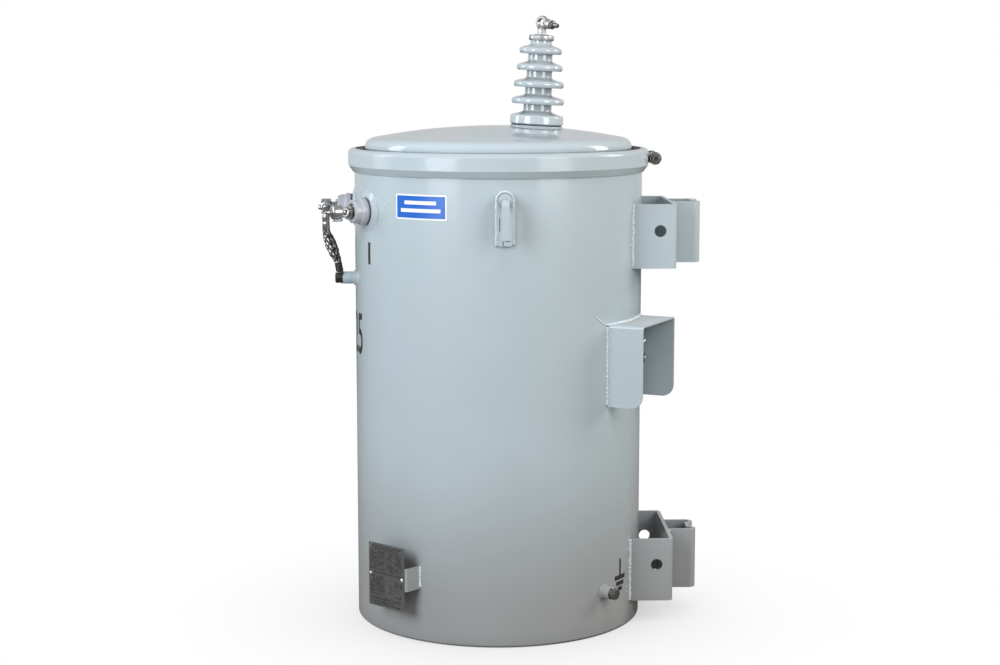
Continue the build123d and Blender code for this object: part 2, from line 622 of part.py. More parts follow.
# ---------------------------------------------------------------- ground bosses and strap
def ground_boss(end, angle, z):
    boss = rod(GROUND_BOSS_RADIUS, TANK_RADIUS - 3.0 * PAST, end)
    foot_end = TANK_RADIUS + GROUND_BOSS_FOOT
    boss += rod(GROUND_BOSS_RADIUS + 1.5, TANK_RADIUS - 3.0 * PAST, foot_end)
    boss -= rod(GROUND_BOLT_RADIUS + HOLE_CLEARANCE, end - GROUND_BOLT_DEPTH, end + 1.0)
    return at_angle(boss, angle, z) - tank_body()


def ground_bolt(seat, boss_end, angle, z):
    """Hexagon bolt with its washer, screwed into a boss."""
    bolt = rod(GROUND_BOLT_RADIUS, boss_end - GROUND_BOLT_DEPTH + 2.0, seat + 1.0)
    washer_end = seat + GROUND_WASHER_THICKNESS
    bolt += rod(GROUND_WASHER_RADIUS, seat, washer_end)
    bolt += hex_bar(GROUND_BOLT_FLATS, washer_end, washer_end + GROUND_BOLT_HEAD)
    return at_angle(bolt, angle, z)


def front_ground_boss():
    return ground_boss(FRONT_BOSS_END, 180.0, FRONT_BOSS_Z)


def front_ground_bolt():
    seat = FRONT_BOSS_END + STRAP_PALM_THICKNESS
    return ground_bolt(seat, FRONT_BOSS_END, 180.0, FRONT_BOSS_Z)


def rear_ground_boss():
    return ground_boss(REAR_BOSS_END, REAR_BOSS_ANGLE, REAR_BOSS_Z)


def rear_ground_bolt():
    return ground_bolt(REAR_BOSS_END, REAR_BOSS_END, REAR_BOSS_ANGLE, REAR_BOSS_Z)


def strap_lower_r():
    return FRONT_BOSS_END + STRAP_PALM_THICKNESS + STRAP_BARREL_OFFSET


def strap_lower_z():
    """Height of the lower barrel's foot above the boss's axis."""
    return GROUND_BOLT_FLATS / sqrt(3.0) + STRAP_LOWER_BARREL_GAP


def strap_lower_lug():
    """Palm under the boss's bolt, joggled out to a crimp barrel."""
    x0 = FRONT_BOSS_END
    x1 = x0 + STRAP_PALM_THICKNESS
    half = STRAP_PALM_WIDTH / 2.0
    foot = strap_lower_z()
    palm = block(x0, x1, -half, half, -half, foot + 4.0)
    palm = fillet(palm.edges().filter_by(Axis.X).group_by(Axis.Z)[0], half - 0.5)
    palm -= rod(GROUND_BOLT_RADIUS + HOLE_CLEARANCE, x0 - 1.0, x1 + 1.0)
    barrel = post(STRAP_BARREL_RADIUS, 0.0, STRAP_LOWER_BARREL_LENGTH)
    barrel = Location((strap_lower_r(), 0, foot), (0, STRAP_LOWER_TILT_DEG, 0)) * barrel
    neck = block(x0, strap_lower_r(), -STRAP_BARREL_RADIUS + 1.0, STRAP_BARREL_RADIUS - 1.0,
                 foot, foot + 4.0)
    return at_angle(palm + barrel + neck, 180.0, FRONT_BOSS_Z)


def strap_upper_top():
    return LV_Z - FRONT_BOSS_Z - CENTRE_CLAMP_SEAT - CENTRE_CLAMP_FLANGE - SEAT


def strap_upper_lug():
    """Barrel that hangs from the middle clamp, with its crimp below."""
    top = strap_upper_top()
    low = top - STRAP_UPPER_BARREL_LENGTH
    barrel = post(STRAP_BARREL_RADIUS, low, top, STRAP_UPPER_R)
    barrel = chamfer(barrel.edges().filter_by(GeomType.CIRCLE), 0.8)
    crimp = post(STRAP_CRIMP_RADIUS, low - STRAP_CRIMP_LENGTH, low + 1.0, STRAP_UPPER_R)
    return at_angle(barrel + crimp, 180.0, FRONT_BOSS_Z)


def ground_braid():
    """Flat copper braid, gathered at both ends and spread in between."""
    tilt = radians(STRAP_LOWER_TILT_DEG)
    reach = STRAP_LOWER_BARREL_LENGTH * cos(tilt) + STRAP_BARREL_RADIUS * sin(tilt)
    top = strap_upper_top() - STRAP_UPPER_BARREL_LENGTH - STRAP_CRIMP_LENGTH - SEAT
    low = strap_lower_z() + reach + SEAT
    rise = top - low
    x_low = strap_lower_r() + STRAP_LOWER_BARREL_LENGTH * sin(tilt)
    across = STRAP_UPPER_R - x_low
    full = BRAID_WIDTH
    stations = (
        (0.0, 0.0, 0.54 * full, 0.8 * BRAID_DEPTH), (0.25, 0.30, 0.84 * full, BRAID_DEPTH),
        (0.54, 0.55, full, BRAID_DEPTH), (0.84, 0.79, 0.87 * full, BRAID_DEPTH),
        (1.0, 1.0, 0.57 * full, 0.85 * BRAID_DEPTH))
    sections = []
    for height, shift, wide, deep in stations:
        plane = Plane(origin=(x_low + shift * across, 0, low + height * rise))
        sections.append(plane * Ellipse(wide / 2.0, deep / 2.0))
    return at_angle(loft(sections), 180.0, FRONT_BOSS_Z)


# ---------------------------------------------------------------- pole brackets
def bracket(hole_z):
    """Bent plate channel standing off the tank, open above and below."""
    half = BRACKET_WIDTH / 2.0
    back = TANK_RADIUS - BRACKET_WIDTH / 2.0
    top = hole_z + BRACKET_HOLE_DROP
    low = top - BRACKET_HEIGHT
    outer = block(-half, half, back, BRACKET_FACE_Y, low, top)
    outer = fillet(outer.edges().filter_by(Axis.Z).group_by(Axis.Y)[-1], BRACKET_BEND_RADIUS)
    inside = half - BRACKET_PLATE
    face = BRACKET_FACE_Y - BRACKET_PLATE
    inner = block(-inside, inside, back - PAST, face, low - 1.0, top + 1.0)
    bend = BRACKET_BEND_RADIUS - BRACKET_PLATE
    inner = fillet(inner.edges().filter_by(Axis.Z).group_by(Axis.Y)[-1], bend)
    hole = rod(BRACKET_HOLE_RADIUS, -half - PAST, half + PAST, BRACKET_FACE_Y - BRACKET_HOLE_INSET, hole_z)
    return outer - inner - tank_body() - hole


def hanger_line(inset):
    """Open line of the folded loop, seen from above, moved inwards by the inset."""
    half = HANGER_WIDTH / 2.0 - inset
    face = HANGER_FACE_Y - inset
    valley = face - HANGER_NOTCH_DEPTH
    mouth = HANGER_NOTCH_MOUTH / 2.0 + inset * 0.4
    land = HANGER_NOTCH_LAND / 2.0 + inset * 0.4
    start = BRACKET_FACE_Y + SEAT
    return [
        (-half, start), (-half, face), (-mouth, face), (-land, valley),
        (land, valley), (mouth, face), (half, face), (half, start)]


def hanger(hole_z):
    """Folded loop on the channel's face, with a shallow vee and a vertical slot."""
    top = hole_z + BRACKET_HOLE_DROP
    low = top - BRACKET_HEIGHT + HANGER_SHORTER
    outer = make_face(Polyline(*hanger_line(0.0), close=True))
    outer = Pos(0, 0, low) * extrude(outer, top - low)
    corners = outer.edges().filter_by(Axis.Z).group_by(Axis.Y)[-1].sort_by(Axis.X)
    outer = fillet([corners[0], corners[-1]], HANGER_BEND_RADIUS)
    inner = make_face(Polyline(*hanger_line(HANGER_PLATE), close=True))
    inner = Pos(0, 0, low - 1.0) * extrude(inner, top - low + 2.0)
    corners = inner.edges().filter_by(Axis.Z).group_by(Axis.Y)[-1].sort_by(Axis.X)
    inner = fillet([corners[0], corners[-1]], HANGER_BEND_RADIUS - HANGER_PLATE)
    valley = HANGER_FACE_Y - HANGER_NOTCH_DEPTH - HANGER_PLATE
    plane = Plane(origin=(0, valley - 2.0, hole_z), x_dir=(-1, 0, 0), z_dir=(0, 1, 0))
    slot = SlotOverall(HANGER_SLOT_LENGTH, 2.0 * HANGER_SLOT_RADIUS, rotation=90)
    return outer - inner - extrude(plane * slot, HANGER_PLATE + 2.0 * PAST)


# ---------------------------------------------------------------- tap changer and its hood
def tap_hood():
    """Folded rain hood, open outward and below."""
    half = HOOD_WIDTH / 2.0
    back = TANK_RADIUS - HOOD_WIDTH / 2.0
    low = HOOD_TOP_Z - HOOD_HEIGHT
    outer = block(back, HOOD_FACE, -half, half, low, HOOD_TOP_Z)
    outer = fillet(outer.edges().filter_by(Axis.X).group_by(Axis.Z)[-1], HOOD_BEND_RADIUS)
    inside = half - HOOD_SHEET
    ceiling = HOOD_TOP_Z - HOOD_SHEET
    inner = block(back - PAST, HOOD_FACE + PAST, -inside, inside, low - PAST, ceiling)
    bend = HOOD_BEND_RADIUS - HOOD_SHEET
    inner = fillet(inner.edges().filter_by(Axis.X).group_by(Axis.Z)[-1], bend)
    hood = outer - inner
    corner = hood.edges().filter_by(Axis.Y).group_by(Axis.Z)[0].group_by(Axis.X)[-1]
    return at_angle(fillet(corner, HOOD_CORNER_RADIUS), HOOD_ANGLE) - tank_body()


def tap_flange():
    end = TANK_RADIUS + TAP_FLANGE_LENGTH
    start = TANK_RADIUS - 3.0 * PAST
    flange = rod(TAP_FLANGE_RADIUS, start, end, 0.0, TAP_Z)
    flange += rod(TAP_LOCK_HEAD_RADIUS + 3.0, start, end, 0.0, TAP_Z + TAP_LOCK_RISE)
    flange -= rod(TAP_SHAFT_RADIUS + HOLE_CLEARANCE, start - 1.0, end + 1.0, 0.0, TAP_Z)
    flange -= rod(TAP_LOCK_RADIUS + HOLE_CLEARANCE, start - 1.0, end + 1.0, 0.0, TAP_Z + TAP_LOCK_RISE)
    return at_angle(flange, HOOD_ANGLE) - tank_body()


def tap_knob():
    start = TANK_RADIUS + TAP_FLANGE_LENGTH + SEAT
    end = start + TAP_KNOB_LENGTH
    knob = rod(TAP_KNOB_RADIUS, start, end, 0.0, TAP_Z)
    knob = chamfer(knob.edges().filter_by(GeomType.CIRCLE).group_by(Axis.X)[-1], 1.0)
    knob += rod(TAP_SHAFT_RADIUS, TANK_RADIUS - TAP_SHAFT_INNER, start + 1.0, 0.0, TAP_Z)
    return at_angle(knob, HOOD_ANGLE)


def domed_screw(radius, start, end, z):
    screw = rod(radius, start, end, 0.0, z)
    outer = screw.edges().filter_by(GeomType.CIRCLE).group_by(Axis.X)[-1]
    return fillet(outer, radius * 0.6)


def tap_screw():
    start = TANK_RADIUS + TAP_FLANGE_LENGTH + TAP_KNOB_LENGTH + 2.0 * SEAT
    return at_angle(domed_screw(TAP_SCREW_RADIUS, start, start + TAP_SCREW_PROUD, TAP_Z), HOOD_ANGLE)


def tap_lock_bolt():
    z = TAP_Z + TAP_LOCK_RISE
    end = TANK_RADIUS + TAP_LOCK_LENGTH
    bolt = rod(TAP_LOCK_RADIUS, TANK_RADIUS + SEAT + 0.5, end, 0.0, z)
    bolt += domed_screw(TAP_LOCK_HEAD_RADIUS, end, end + TAP_LOCK_HEAD, z)
    return at_angle(bolt, HOOD_ANGLE)


# ---------------------------------------------------------------- lifting lugs
def two_sides(shape):
    return Compound([at_angle(shape, LUG_ANGLE), at_angle(shape, LUG_ANGLE + 180.0)])


def lifting_plates():
    half = LUG_PLATE_WIDTH / 2.0
    face = TANK_RADIUS + LUG_PLATE_THICKNESS
    top = LUG_PLATE_LOWER_Z + LUG_PLATE_HEIGHT
    plate = block(TANK_RADIUS - PAST, face, -half, half, LUG_PLATE_LOWER_Z, top)
    plate = fillet(plate.edges().filter_by(Axis.X).group_by(Axis.Z)[-1], half - 0.5)
    plate = fillet(plate.edges().filter_by(Axis.X).group_by(Axis.Z)[0], half / 3.0)
    return two_sides(plate - tank_body())


def lifting_hooks():
    """Flat bar bent over and down from a round root, open below for the sling."""
    half = LUG_HOOK_WIDTH / 2.0
    start = TANK_RADIUS + LUG_PLATE_THICKNESS + SEAT
    outer = TANK_RADIUS + LUG_HOOK_STANDOFF
    top = LUG_PLATE_LOWER_Z + LUG_PLATE_HEIGHT - LUG_HOOK_TOP_DROP
    low = top - LUG_HOOK_LENGTH
    t = LUG_HOOK_THICKNESS
    arm = block(start, outer, -half, half, top - t, top)
    leg = block(outer - t, outer, -half, half, low, top)
    hook = arm + leg
    bend = hook.edges().filter_by(Axis.Y).group_by(Axis.Z)[-1].group_by(Axis.X)[-1]
    hook = fillet(bend, LUG_HOOK_BEND)
    eye_z = LUG_PLATE_LOWER_Z + LUG_PLATE_HEIGHT - LUG_EYE_DROP
    hook += rod(LUG_EYE_RADIUS, start, start + LUG_EYE_LENGTH, 0.0, eye_z)
    return two_sides(hook)


# ---------------------------------------------------------------- nameplate
def plate_screw_holes(start, end):
    holes = []
    for side in (-0.5, 0.5):
        holes.append(rod(PLATE_SCREW_SHANK + HOLE_CLEARANCE, start, end,
                         side * PLATE_SCREW_SPACING, PLATE_MIDDLE_Z))
    return holes


def nameplate_bracket():
    """Bent strip with two legs on the tank and the plate on its back."""
    half = PLATE_BRACKET_WIDTH / 2.0
    t = PLATE_BRACKET_SHEET
    face = PLATE_FACE - PLATE_THICKNESS - SEAT
    back = TANK_RADIUS - PLATE_BRACKET_WIDTH / 2.0
    low = PLATE_MIDDLE_Z - PLATE_BRACKET_HEIGHT / 2.0
    top = low + PLATE_BRACKET_HEIGHT
    outer = block(back, face, -half, half, low, top)
    outer = fillet(outer.edges().filter_by(Axis.Z).group_by(Axis.X)[-1], PLATE_BRACKET_BEND)
    inner = block(back - PAST, face - t, -half + t, half - t, low - 1.0, top + 1.0)
    inner = fillet(inner.edges().filter_by(Axis.Z).group_by(Axis.X)[-1], PLATE_BRACKET_BEND - t)
    strip = outer - inner
    for hole in plate_screw_holes(face - t - 1.0, face + 1.0):
        strip -= hole
    return at_angle(strip, PLATE_ANGLE) - tank_body()


def nameplate():
    back = PLATE_FACE - PLATE_THICKNESS
    plane = Plane(origin=(back, 0, PLATE_MIDDLE_Z), x_dir=(0, 1, 0), z_dir=(1, 0, 0))
    outline = RectangleRounded(PLATE_WIDTH, PLATE_HEIGHT, PLATE_CORNER)
    plate = extrude(plane * outline, PLATE_THICKNESS)
    for hole in plate_screw_holes(back - 1.0, PLATE_FACE + 1.0):
        plate -= hole
    return at_angle(plate, PLATE_ANGLE)


def nameplate_screws():
    seat = PLATE_FACE + 0.05
    made = []
    for side in (-0.5, 0.5):
        y = side * PLATE_SCREW_SPACING
        head = rod(PLATE_SCREW_RADIUS, seat, seat + PLATE_SCREW_HEAD, y, PLATE_MIDDLE_Z)
        head = fillet(head.edges().filter_by(GeomType.CIRCLE).group_by(Axis.X)[-1], PLATE_SCREW_HEAD * 0.8)
        head += rod(PLATE_SCREW_SHANK, seat - PLATE_SCREW_TAIL, seat + 0.5, y, PLATE_MIDDLE_Z)
        made.append(at_angle(head, PLATE_ANGLE))
    return Compound(made)


save("tank_bottom", tank_bottom())
save("tank_shell", tank_shell())
save("cover_gasket", cover_gasket())
save("cover", cover())
save("cover_band", cover_band())
save("band_barrels", band_barrels())
save("band_bolt", band_bolt())
save("hv_gasket", hv_gasket())
save("hv_bushing", hv_bushing())
save("hv_cap", hv_cap())
save("hv_terminal", hv_terminal())
save("hv_clamp_bolt", hv_clamp_bolt())
save("lv_pads", lv_pads())
save("lv_gaskets", lv_gaskets())
save("lv_bushings", lv_bushings())
save("lv_studs", lv_studs())
save("outer_clamps", outer_clamps())
save("centre_clamp", centre_clamp())
save("front_ground_boss", front_ground_boss())
save("front_ground_bolt", front_ground_bolt())
save("strap_lower_lug", strap_lower_lug())
save("strap_upper_lug", strap_upper_lug())
save("ground_braid", ground_braid())
save("rear_ground_boss", rear_ground_boss())
save("rear_ground_bolt", rear_ground_bolt())
save("lower_bracket", bracket(BRACKET_HOLE_Z))
save("upper_bracket", bracket(BRACKET_HOLE_Z + BRACKET_SPACING))
save("lower_hanger", hanger(BRACKET_HOLE_Z))
save("upper_hanger", hanger(BRACKET_HOLE_Z + BRACKET_SPACING))
save("tap_hood", tap_hood())
save("tap_flange", tap_flange())
save("tap_knob", tap_knob())
save("tap_screw", tap_screw())
save("tap_lock_bolt", tap_lock_bolt())
save("lifting_plates", lifting_plates())
save("lifting_hooks", lifting_hooks())
save("nameplate_bracket", nameplate_bracket())
save("nameplate", nameplate())
save("nameplate_screws", nameplate_screws())
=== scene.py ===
import json
import math
import random

import bmesh
import bpy
from bpy.props import FloatProperty, FloatVectorProperty, IntProperty, PointerProperty
from mathutils import Matrix, Vector

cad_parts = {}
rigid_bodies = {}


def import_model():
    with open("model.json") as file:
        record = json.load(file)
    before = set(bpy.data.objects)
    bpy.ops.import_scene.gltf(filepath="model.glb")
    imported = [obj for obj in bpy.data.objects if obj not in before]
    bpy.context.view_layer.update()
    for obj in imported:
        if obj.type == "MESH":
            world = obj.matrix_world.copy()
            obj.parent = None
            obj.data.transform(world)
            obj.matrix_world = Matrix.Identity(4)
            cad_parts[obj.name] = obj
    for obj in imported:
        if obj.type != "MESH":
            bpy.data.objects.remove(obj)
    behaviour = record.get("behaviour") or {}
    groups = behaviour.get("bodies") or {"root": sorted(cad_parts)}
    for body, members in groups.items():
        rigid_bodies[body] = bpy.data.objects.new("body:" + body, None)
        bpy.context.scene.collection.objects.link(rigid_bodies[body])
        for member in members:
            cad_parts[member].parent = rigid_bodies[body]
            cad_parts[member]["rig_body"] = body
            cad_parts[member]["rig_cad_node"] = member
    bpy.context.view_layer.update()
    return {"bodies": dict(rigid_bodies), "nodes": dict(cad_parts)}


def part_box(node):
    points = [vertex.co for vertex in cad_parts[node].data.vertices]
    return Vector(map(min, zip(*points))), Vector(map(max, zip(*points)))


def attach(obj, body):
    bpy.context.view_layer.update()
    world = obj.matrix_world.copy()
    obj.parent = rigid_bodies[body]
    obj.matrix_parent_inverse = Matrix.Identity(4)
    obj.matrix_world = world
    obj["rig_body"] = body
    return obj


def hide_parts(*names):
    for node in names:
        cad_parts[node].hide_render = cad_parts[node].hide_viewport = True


bl_info = {
    "name": "Pole Mounted Transformer",
    "version": (1, 0, 0),
    "blender": (4, 5, 0),
    "location": "3D View > Sidebar > Transformer",
    "description": "Finishes a pole mounted transformer: enamel, porcelain, welds, hardware and markings",
    "category": "Add Mesh",
}

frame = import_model()
NODES = frame["nodes"]
BODY = list(frame["bodies"])[0]

# Places read from the frame, in metres.
TANK_LOW, TANK_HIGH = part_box("tank_bottom")
TANK_RADIUS = (TANK_HIGH.x - TANK_LOW.x) / 2.0
BRACKET_NAMES = ("upper_bracket", "lower_bracket")
HANGER_NAMES = ("upper_hanger", "lower_hanger")


# ---------------------------------------------------------------- sizes and colours a user may change
class EnamelSettings(bpy.types.PropertyGroup):
    """Colours and gloss of the sprayed tank enamel."""
    colour: FloatVectorProperty(
        name="Enamel", description="Sky grey enamel of the tank and its welded parts",
        subtype="COLOR", size=3, min=0.0, max=1.0, default=(0.474, 0.550, 0.590))
    shade: FloatVectorProperty(
        name="Enamel shade", description="Slightly greyer tone where the coat is thin",
        subtype="COLOR", size=3, min=0.0, max=1.0, default=(0.463, 0.536, 0.568))
    dust: FloatVectorProperty(
        name="Dust", description="Fine pale dust that settles on level faces",
        subtype="COLOR", size=3, min=0.0, max=1.0, default=(0.56, 0.56, 0.53))
    # Colour of a painted shade at the foot of the tank, standing for the light that falls off downward.
    film: FloatVectorProperty(
        name="Foot shade", description="Thin grey film that rain splashes onto the foot of the tank",
        subtype="COLOR", size=3, min=0.0, max=1.0, default=(0.330, 0.322, 0.316))
    # Colour of the painted shade that the enamel lays into recesses, round fitted parts and under them.
    grime: FloatVectorProperty(
        name="Painted Shade", description="Soft dark dirt that stays in recesses",
        subtype="COLOR", size=3, min=0.0, max=1.0, default=(0.16, 0.165, 0.17))
    roughness: FloatProperty(
        name="Enamel roughness", description="0 is a mirror, 1 is chalk",
        min=0.0, max=1.0, default=0.17)
    peel: FloatProperty(
        name="Orange peel", description="Depth of the coat's fine ripple",
        min=0.0, max=0.001, default=0.00004, unit="LENGTH", precision=6)


class HardwareSettings(bpy.types.PropertyGroup):
    """Sizes of welds, threads and fasteners."""
    bead_width: FloatProperty(
        name="Weld bead", description="Width of a fillet weld's bead",
        default=0.0062, min=0.002, max=0.02, unit="LENGTH", precision=4)
    ripple_pitch: FloatProperty(
        name="Weld ripple", description="Distance from one ripple of a bead to the next",
        default=0.0026, min=0.001, max=0.01, unit="LENGTH", precision=4)
    thread_pitch: FloatProperty(
        name="Thread pitch", description="Pitch of the exposed threads",
        default=0.00175, min=0.0005, max=0.004, unit="LENGTH", precision=5)
    edge: FloatProperty(
        name="Plate edge", description="Radius that the paint gives to a sheared plate edge",
        default=0.0009, min=0.0002, max=0.004, unit="LENGTH", precision=5)


class MarkingSettings(bpy.types.PropertyGroup):
    """Sizes of what is stencilled or stuck on the tank."""
    digit_height: FloatProperty(
        name="Terminal number", description="Height of the stencilled terminal numbers",
        default=0.038, min=0.01, max=0.1, unit="LENGTH", precision=3)
    rating_height: FloatProperty(
        name="Rating number", description="Height of the stencilled rating number",
        default=0.073, min=0.02, max=0.2, unit="LENGTH", precision=3)
    rating: IntProperty(
        name="Rating", description="Number stencilled on the front", default=25, min=1, max=500)
    label_width: FloatProperty(
        name="Label width", description="Width of the film label under the band",
        default=0.101, min=0.02, max=0.2, unit="LENGTH", precision=3)
    label_height: FloatProperty(
        name="Label height", description="Height of the film label under the band",
        default=0.042, min=0.01, max=0.1, unit="LENGTH", precision=3)
    label_colour: FloatVectorProperty(
        name="Label", description="Colour of the label's printed field",
        subtype="COLOR", size=3, min=0.0, max=1.0, default=(0.007, 0.115, 0.520))


# ---------------------------------------------------------------- modelling helpers
def deselect():
    bpy.ops.object.select_all(action="DESELECT")


def active():
    return bpy.context.view_layer.objects.active


def edit():
    """Enter edit mode with the whole mesh selected."""
    bpy.ops.object.mode_set(mode="EDIT")
    bpy.ops.mesh.select_all(action="SELECT")


def done():
    bpy.ops.object.mode_set(mode="OBJECT")


def closed():
    """Turn every face of the edited mesh outward and leave edit mode."""
    bpy.ops.mesh.select_all(action="SELECT")
    bpy.ops.mesh.normals_make_consistent(inside=False)
    done()


def draw_up(rise):
    """Extrude what is selected along Z."""
    bpy.ops.mesh.extrude_region_move(TRANSFORM_OT_translate={"value": (0.0, 0.0, rise)})


def pick(piece):
    """Make one piece the only selected and active object."""
    deselect()
    piece.select_set(True)
    bpy.context.view_layer.objects.active = piece


def named(piece, name):
    piece.name = name
    piece.data.name = name
    return piece


def apply_place(piece):
    """Put the piece's place into its mesh and leave its object at the origin."""
    pick(piece)
    bpy.ops.object.transform_apply(location=True, rotation=True, scale=True)


def apply_modifier(piece, kind, **values):
    pick(piece)
    modifier = piece.modifiers.new(kind.title(), kind)
    for key, value in values.items():
        setattr(modifier, key, value)
    bpy.ops.object.modifier_apply(modifier=modifier.name)


def smooth(piece, angle=35.0):
    pick(piece)
    bpy.ops.object.shade_smooth_by_angle(angle=math.radians(angle))


def soften(piece, width, segments=2, angle=32.0):
    """Round a piece's edges and shade it smooth between them."""
    apply_modifier(piece, "BEVEL", width=width, segments=segments, limit_method="ANGLE",
                   angle_limit=math.radians(angle))
    smooth(piece, angle)
    apply_modifier(piece, "WEIGHTED_NORMAL", keep_sharp=True, weight=60)


def join(pieces, name):
    deselect()
    for piece in pieces:
        piece.select_set(True)
    bpy.context.view_layer.objects.active = pieces[0]
    if len(pieces) > 1:
        bpy.ops.object.join()
    return named(active(), name)


def copied(piece, name, matrix=None):
    """A copy with its own mesh, moved by the matrix."""
    twin = piece.copy()
    twin.data = piece.data.copy()
    bpy.context.scene.collection.objects.link(twin)
    if matrix is not None:
        twin.data.transform(matrix)
    return named(twin, name)


def remove(piece):
    bpy.data.objects.remove(piece, do_unlink=True)


def turned(name, stations, segments=64):
    """Lathe a closed piece about Z: a disc extruded and resized through (radius, height) stations."""
    deselect()
    radius, height = stations[0]
    bpy.ops.mesh.primitive_circle_add(
        vertices=segments, radius=radius, location=(0.0, 0.0, height), fill_type="NGON")
    piece = named(active(), name)
    apply_place(piece)
    edit()
    for next_radius, next_height in stations[1:]:
        draw_up(next_height - height)
        share = next_radius / radius
        bpy.ops.transform.resize(value=(share, share, 1.0), center_override=(0.0, 0.0, next_height))
        radius, height = next_radius, next_height
    closed()
    return piece


def ringed(name, outline, segments=96):
    """Spin a closed (radius, height) outline about Z into a ring."""
    deselect()
    bpy.ops.mesh.primitive_circle_add(vertices=len(outline), radius=0.01, fill_type="NOTHING")
    piece = named(active(), name)
    for vertex, (radius, height) in zip(piece.data.vertices, outline):
        vertex.co = (radius, 0.0, height)
    edit()
    bpy.ops.mesh.spin(steps=segments, angle=math.tau, center=(0.0, 0.0, 0.0), axis=(0.0, 0.0, 1.0))
    bpy.ops.mesh.select_all(action="SELECT")
    bpy.ops.mesh.remove_doubles(threshold=0.00001)
    closed()
    return piece


def hex_piece(name, flats, low, high, chamfer=0.12):
    """Hexagon bar along Z with its corners turned off at both ends."""
    corner = flats / math.sqrt(3.0)
    deselect()
    bpy.ops.mesh.primitive_cylinder_add(
        vertices=6, radius=corner, depth=high - low, location=(0.0, 0.0, (low + high) / 2.0))
    piece = named(active(), name)
    apply_place(piece)
    drop = flats * chamfer * 0.5
    inner = flats * 0.47
    outer = corner * 1.01
    profile = ((inner, low), (outer, low + drop), (outer, high - drop), (inner, high))
    cone = turned(name + ".turn", profile, 48)
    apply_modifier(piece, "BOOLEAN", operation="INTERSECT", solver="EXACT", object=cone)
    remove(cone)
    return piece


def threaded(name, radius, low, high, pitch, steps=20):
    """Screw thread along Z: one tooth wound up the bar and closed at both ends."""
    depth = pitch * 0.55
    turns = max(1, int((high - low) / pitch) - 1)
    deselect()
    bpy.ops.mesh.primitive_circle_add(vertices=4, radius=0.001, fill_type="NOTHING")
    piece = named(active(), name)
    root = radius - depth
    crest = radius - depth * 0.1
    tooth = ((root, low), (crest, low + pitch * 0.42), (crest, low + pitch * 0.58), (root, low + pitch))
    for vertex, (x, z) in zip(piece.data.vertices, tooth):
        vertex.co = (x, 0.0, z)
    edit()
    mesh = bmesh.from_edit_mesh(piece.data)
    mesh.edges.ensure_lookup_table()
    closing = []
    for side in mesh.edges:
        if abs(side.verts[0].co.z - side.verts[1].co.z) > pitch * 0.9:
            closing.append(side)
    bmesh.ops.delete(mesh, geom=closing, context="EDGES")
    bmesh.update_edit_mesh(piece.data)
    done()
    apply_modifier(piece, "SCREW", axis="Z", angle=math.tau, screw_offset=pitch, iterations=turns,
                   steps=steps, render_steps=steps, use_merge_vertices=True, merge_threshold=0.00002)
    bar = radius - depth * 0.9
    core = turned(name + ".core", ((bar, low), (bar, high - pitch * 0.5), (radius - depth * 1.6, high)), 24)
    return join([piece, core], name)


def stand(piece, axis, place):
    """Turn a piece built along Z to point along the axis, and move it to its place."""
    turn = Vector((0.0, 0.0, 1.0)).rotation_difference(Vector(axis).normalized()).to_matrix().to_4x4()
    piece.data.transform(Matrix.Translation(Vector(place)) @ turn)
    return piece


def placed(piece, matrix):
    piece.data.transform(matrix)
    return piece


def raised(piece, proud):
    return placed(piece, Matrix.Translation((0.0, 0.0, proud)))


def wall(across):
    """How far out the tank's round wall stands, at a distance across from its middle plane."""
    return math.sqrt(TANK_RADIUS ** 2 - across ** 2)


def outward(angle, height=0.0):
    """Matrix from a local frame, X outward and Z up, to an angle round the tank from +Y towards +X."""
    return Matrix.Translation((0.0, 0.0, height)) @ Matrix.Rotation(math.radians(90.0 - angle), 4, "Z")


def wrapped(piece, radius):
    """Bend a flat piece, drawn across X and up Y and facing +Z, round the tank about angle zero."""
    for vertex in piece.data.vertices:
        across, up, proud = vertex.co
        turn = across / radius
        vertex.co = ((radius + proud) * math.cos(turn), (radius + proud) * math.sin(turn), up)
    piece.data.update()
    return piece


def sliced(piece, low, high, count):
    """Cut a flat piece across X so that it can follow the tank's curve."""
    pick(piece)
    edit()
    for step in range(1, count):
        bpy.ops.mesh.select_all(action="SELECT")
        bpy.ops.mesh.bisect(plane_co=(low + (high - low) * step / count, 0.0, 0.0), plane_no=(1.0, 0.0, 0.0))
    done()


def bead(name, stations, width, height, pitch, seed):
    """Weld bead: one flattened ripple modelled once and copied along (place, normal) stations."""
    chance = random.Random(seed)
    deselect()
    bpy.ops.mesh.primitive_uv_sphere_add(segments=8, ring_count=5, radius=1.0)
    ripple = named(active(), name + ".ripple")
    edit()
    bpy.ops.transform.resize(value=(pitch * 1.15, width * 0.5, height))
    bpy.ops.transform.rotate(value=math.radians(14.0), orient_axis="Y", center_override=(0.0, 0.0, 0.0))
    done()
    ripples = []
    run = 0.0
    wanted = 0.0
    for (start, start_normal), (end, end_normal) in zip(stations, stations[1:]):
        step = end - start
        length = step.length
        while wanted <= run + length and length > 0.0:
            share = (wanted - run) / length
            normal = start_normal.lerp(end_normal, share).normalized()
            along = step.normalized()
            across = normal.cross(along).normalized()
            normal = along.cross(across)
            basis = Matrix((along, across, normal)).transposed().to_4x4()
            scale = Matrix.Diagonal((1.0, chance.uniform(0.80, 1.20), chance.uniform(0.72, 1.30), 1.0))
            place = start + step * share
            ripples.append(copied(ripple, name, Matrix.Translation(place) @ basis @ scale))
            wanted += pitch * chance.uniform(0.92, 1.08)
        run += length
    remove(ripple)
    made = join(ripples, name)
    smooth(made, 60.0)
    return made


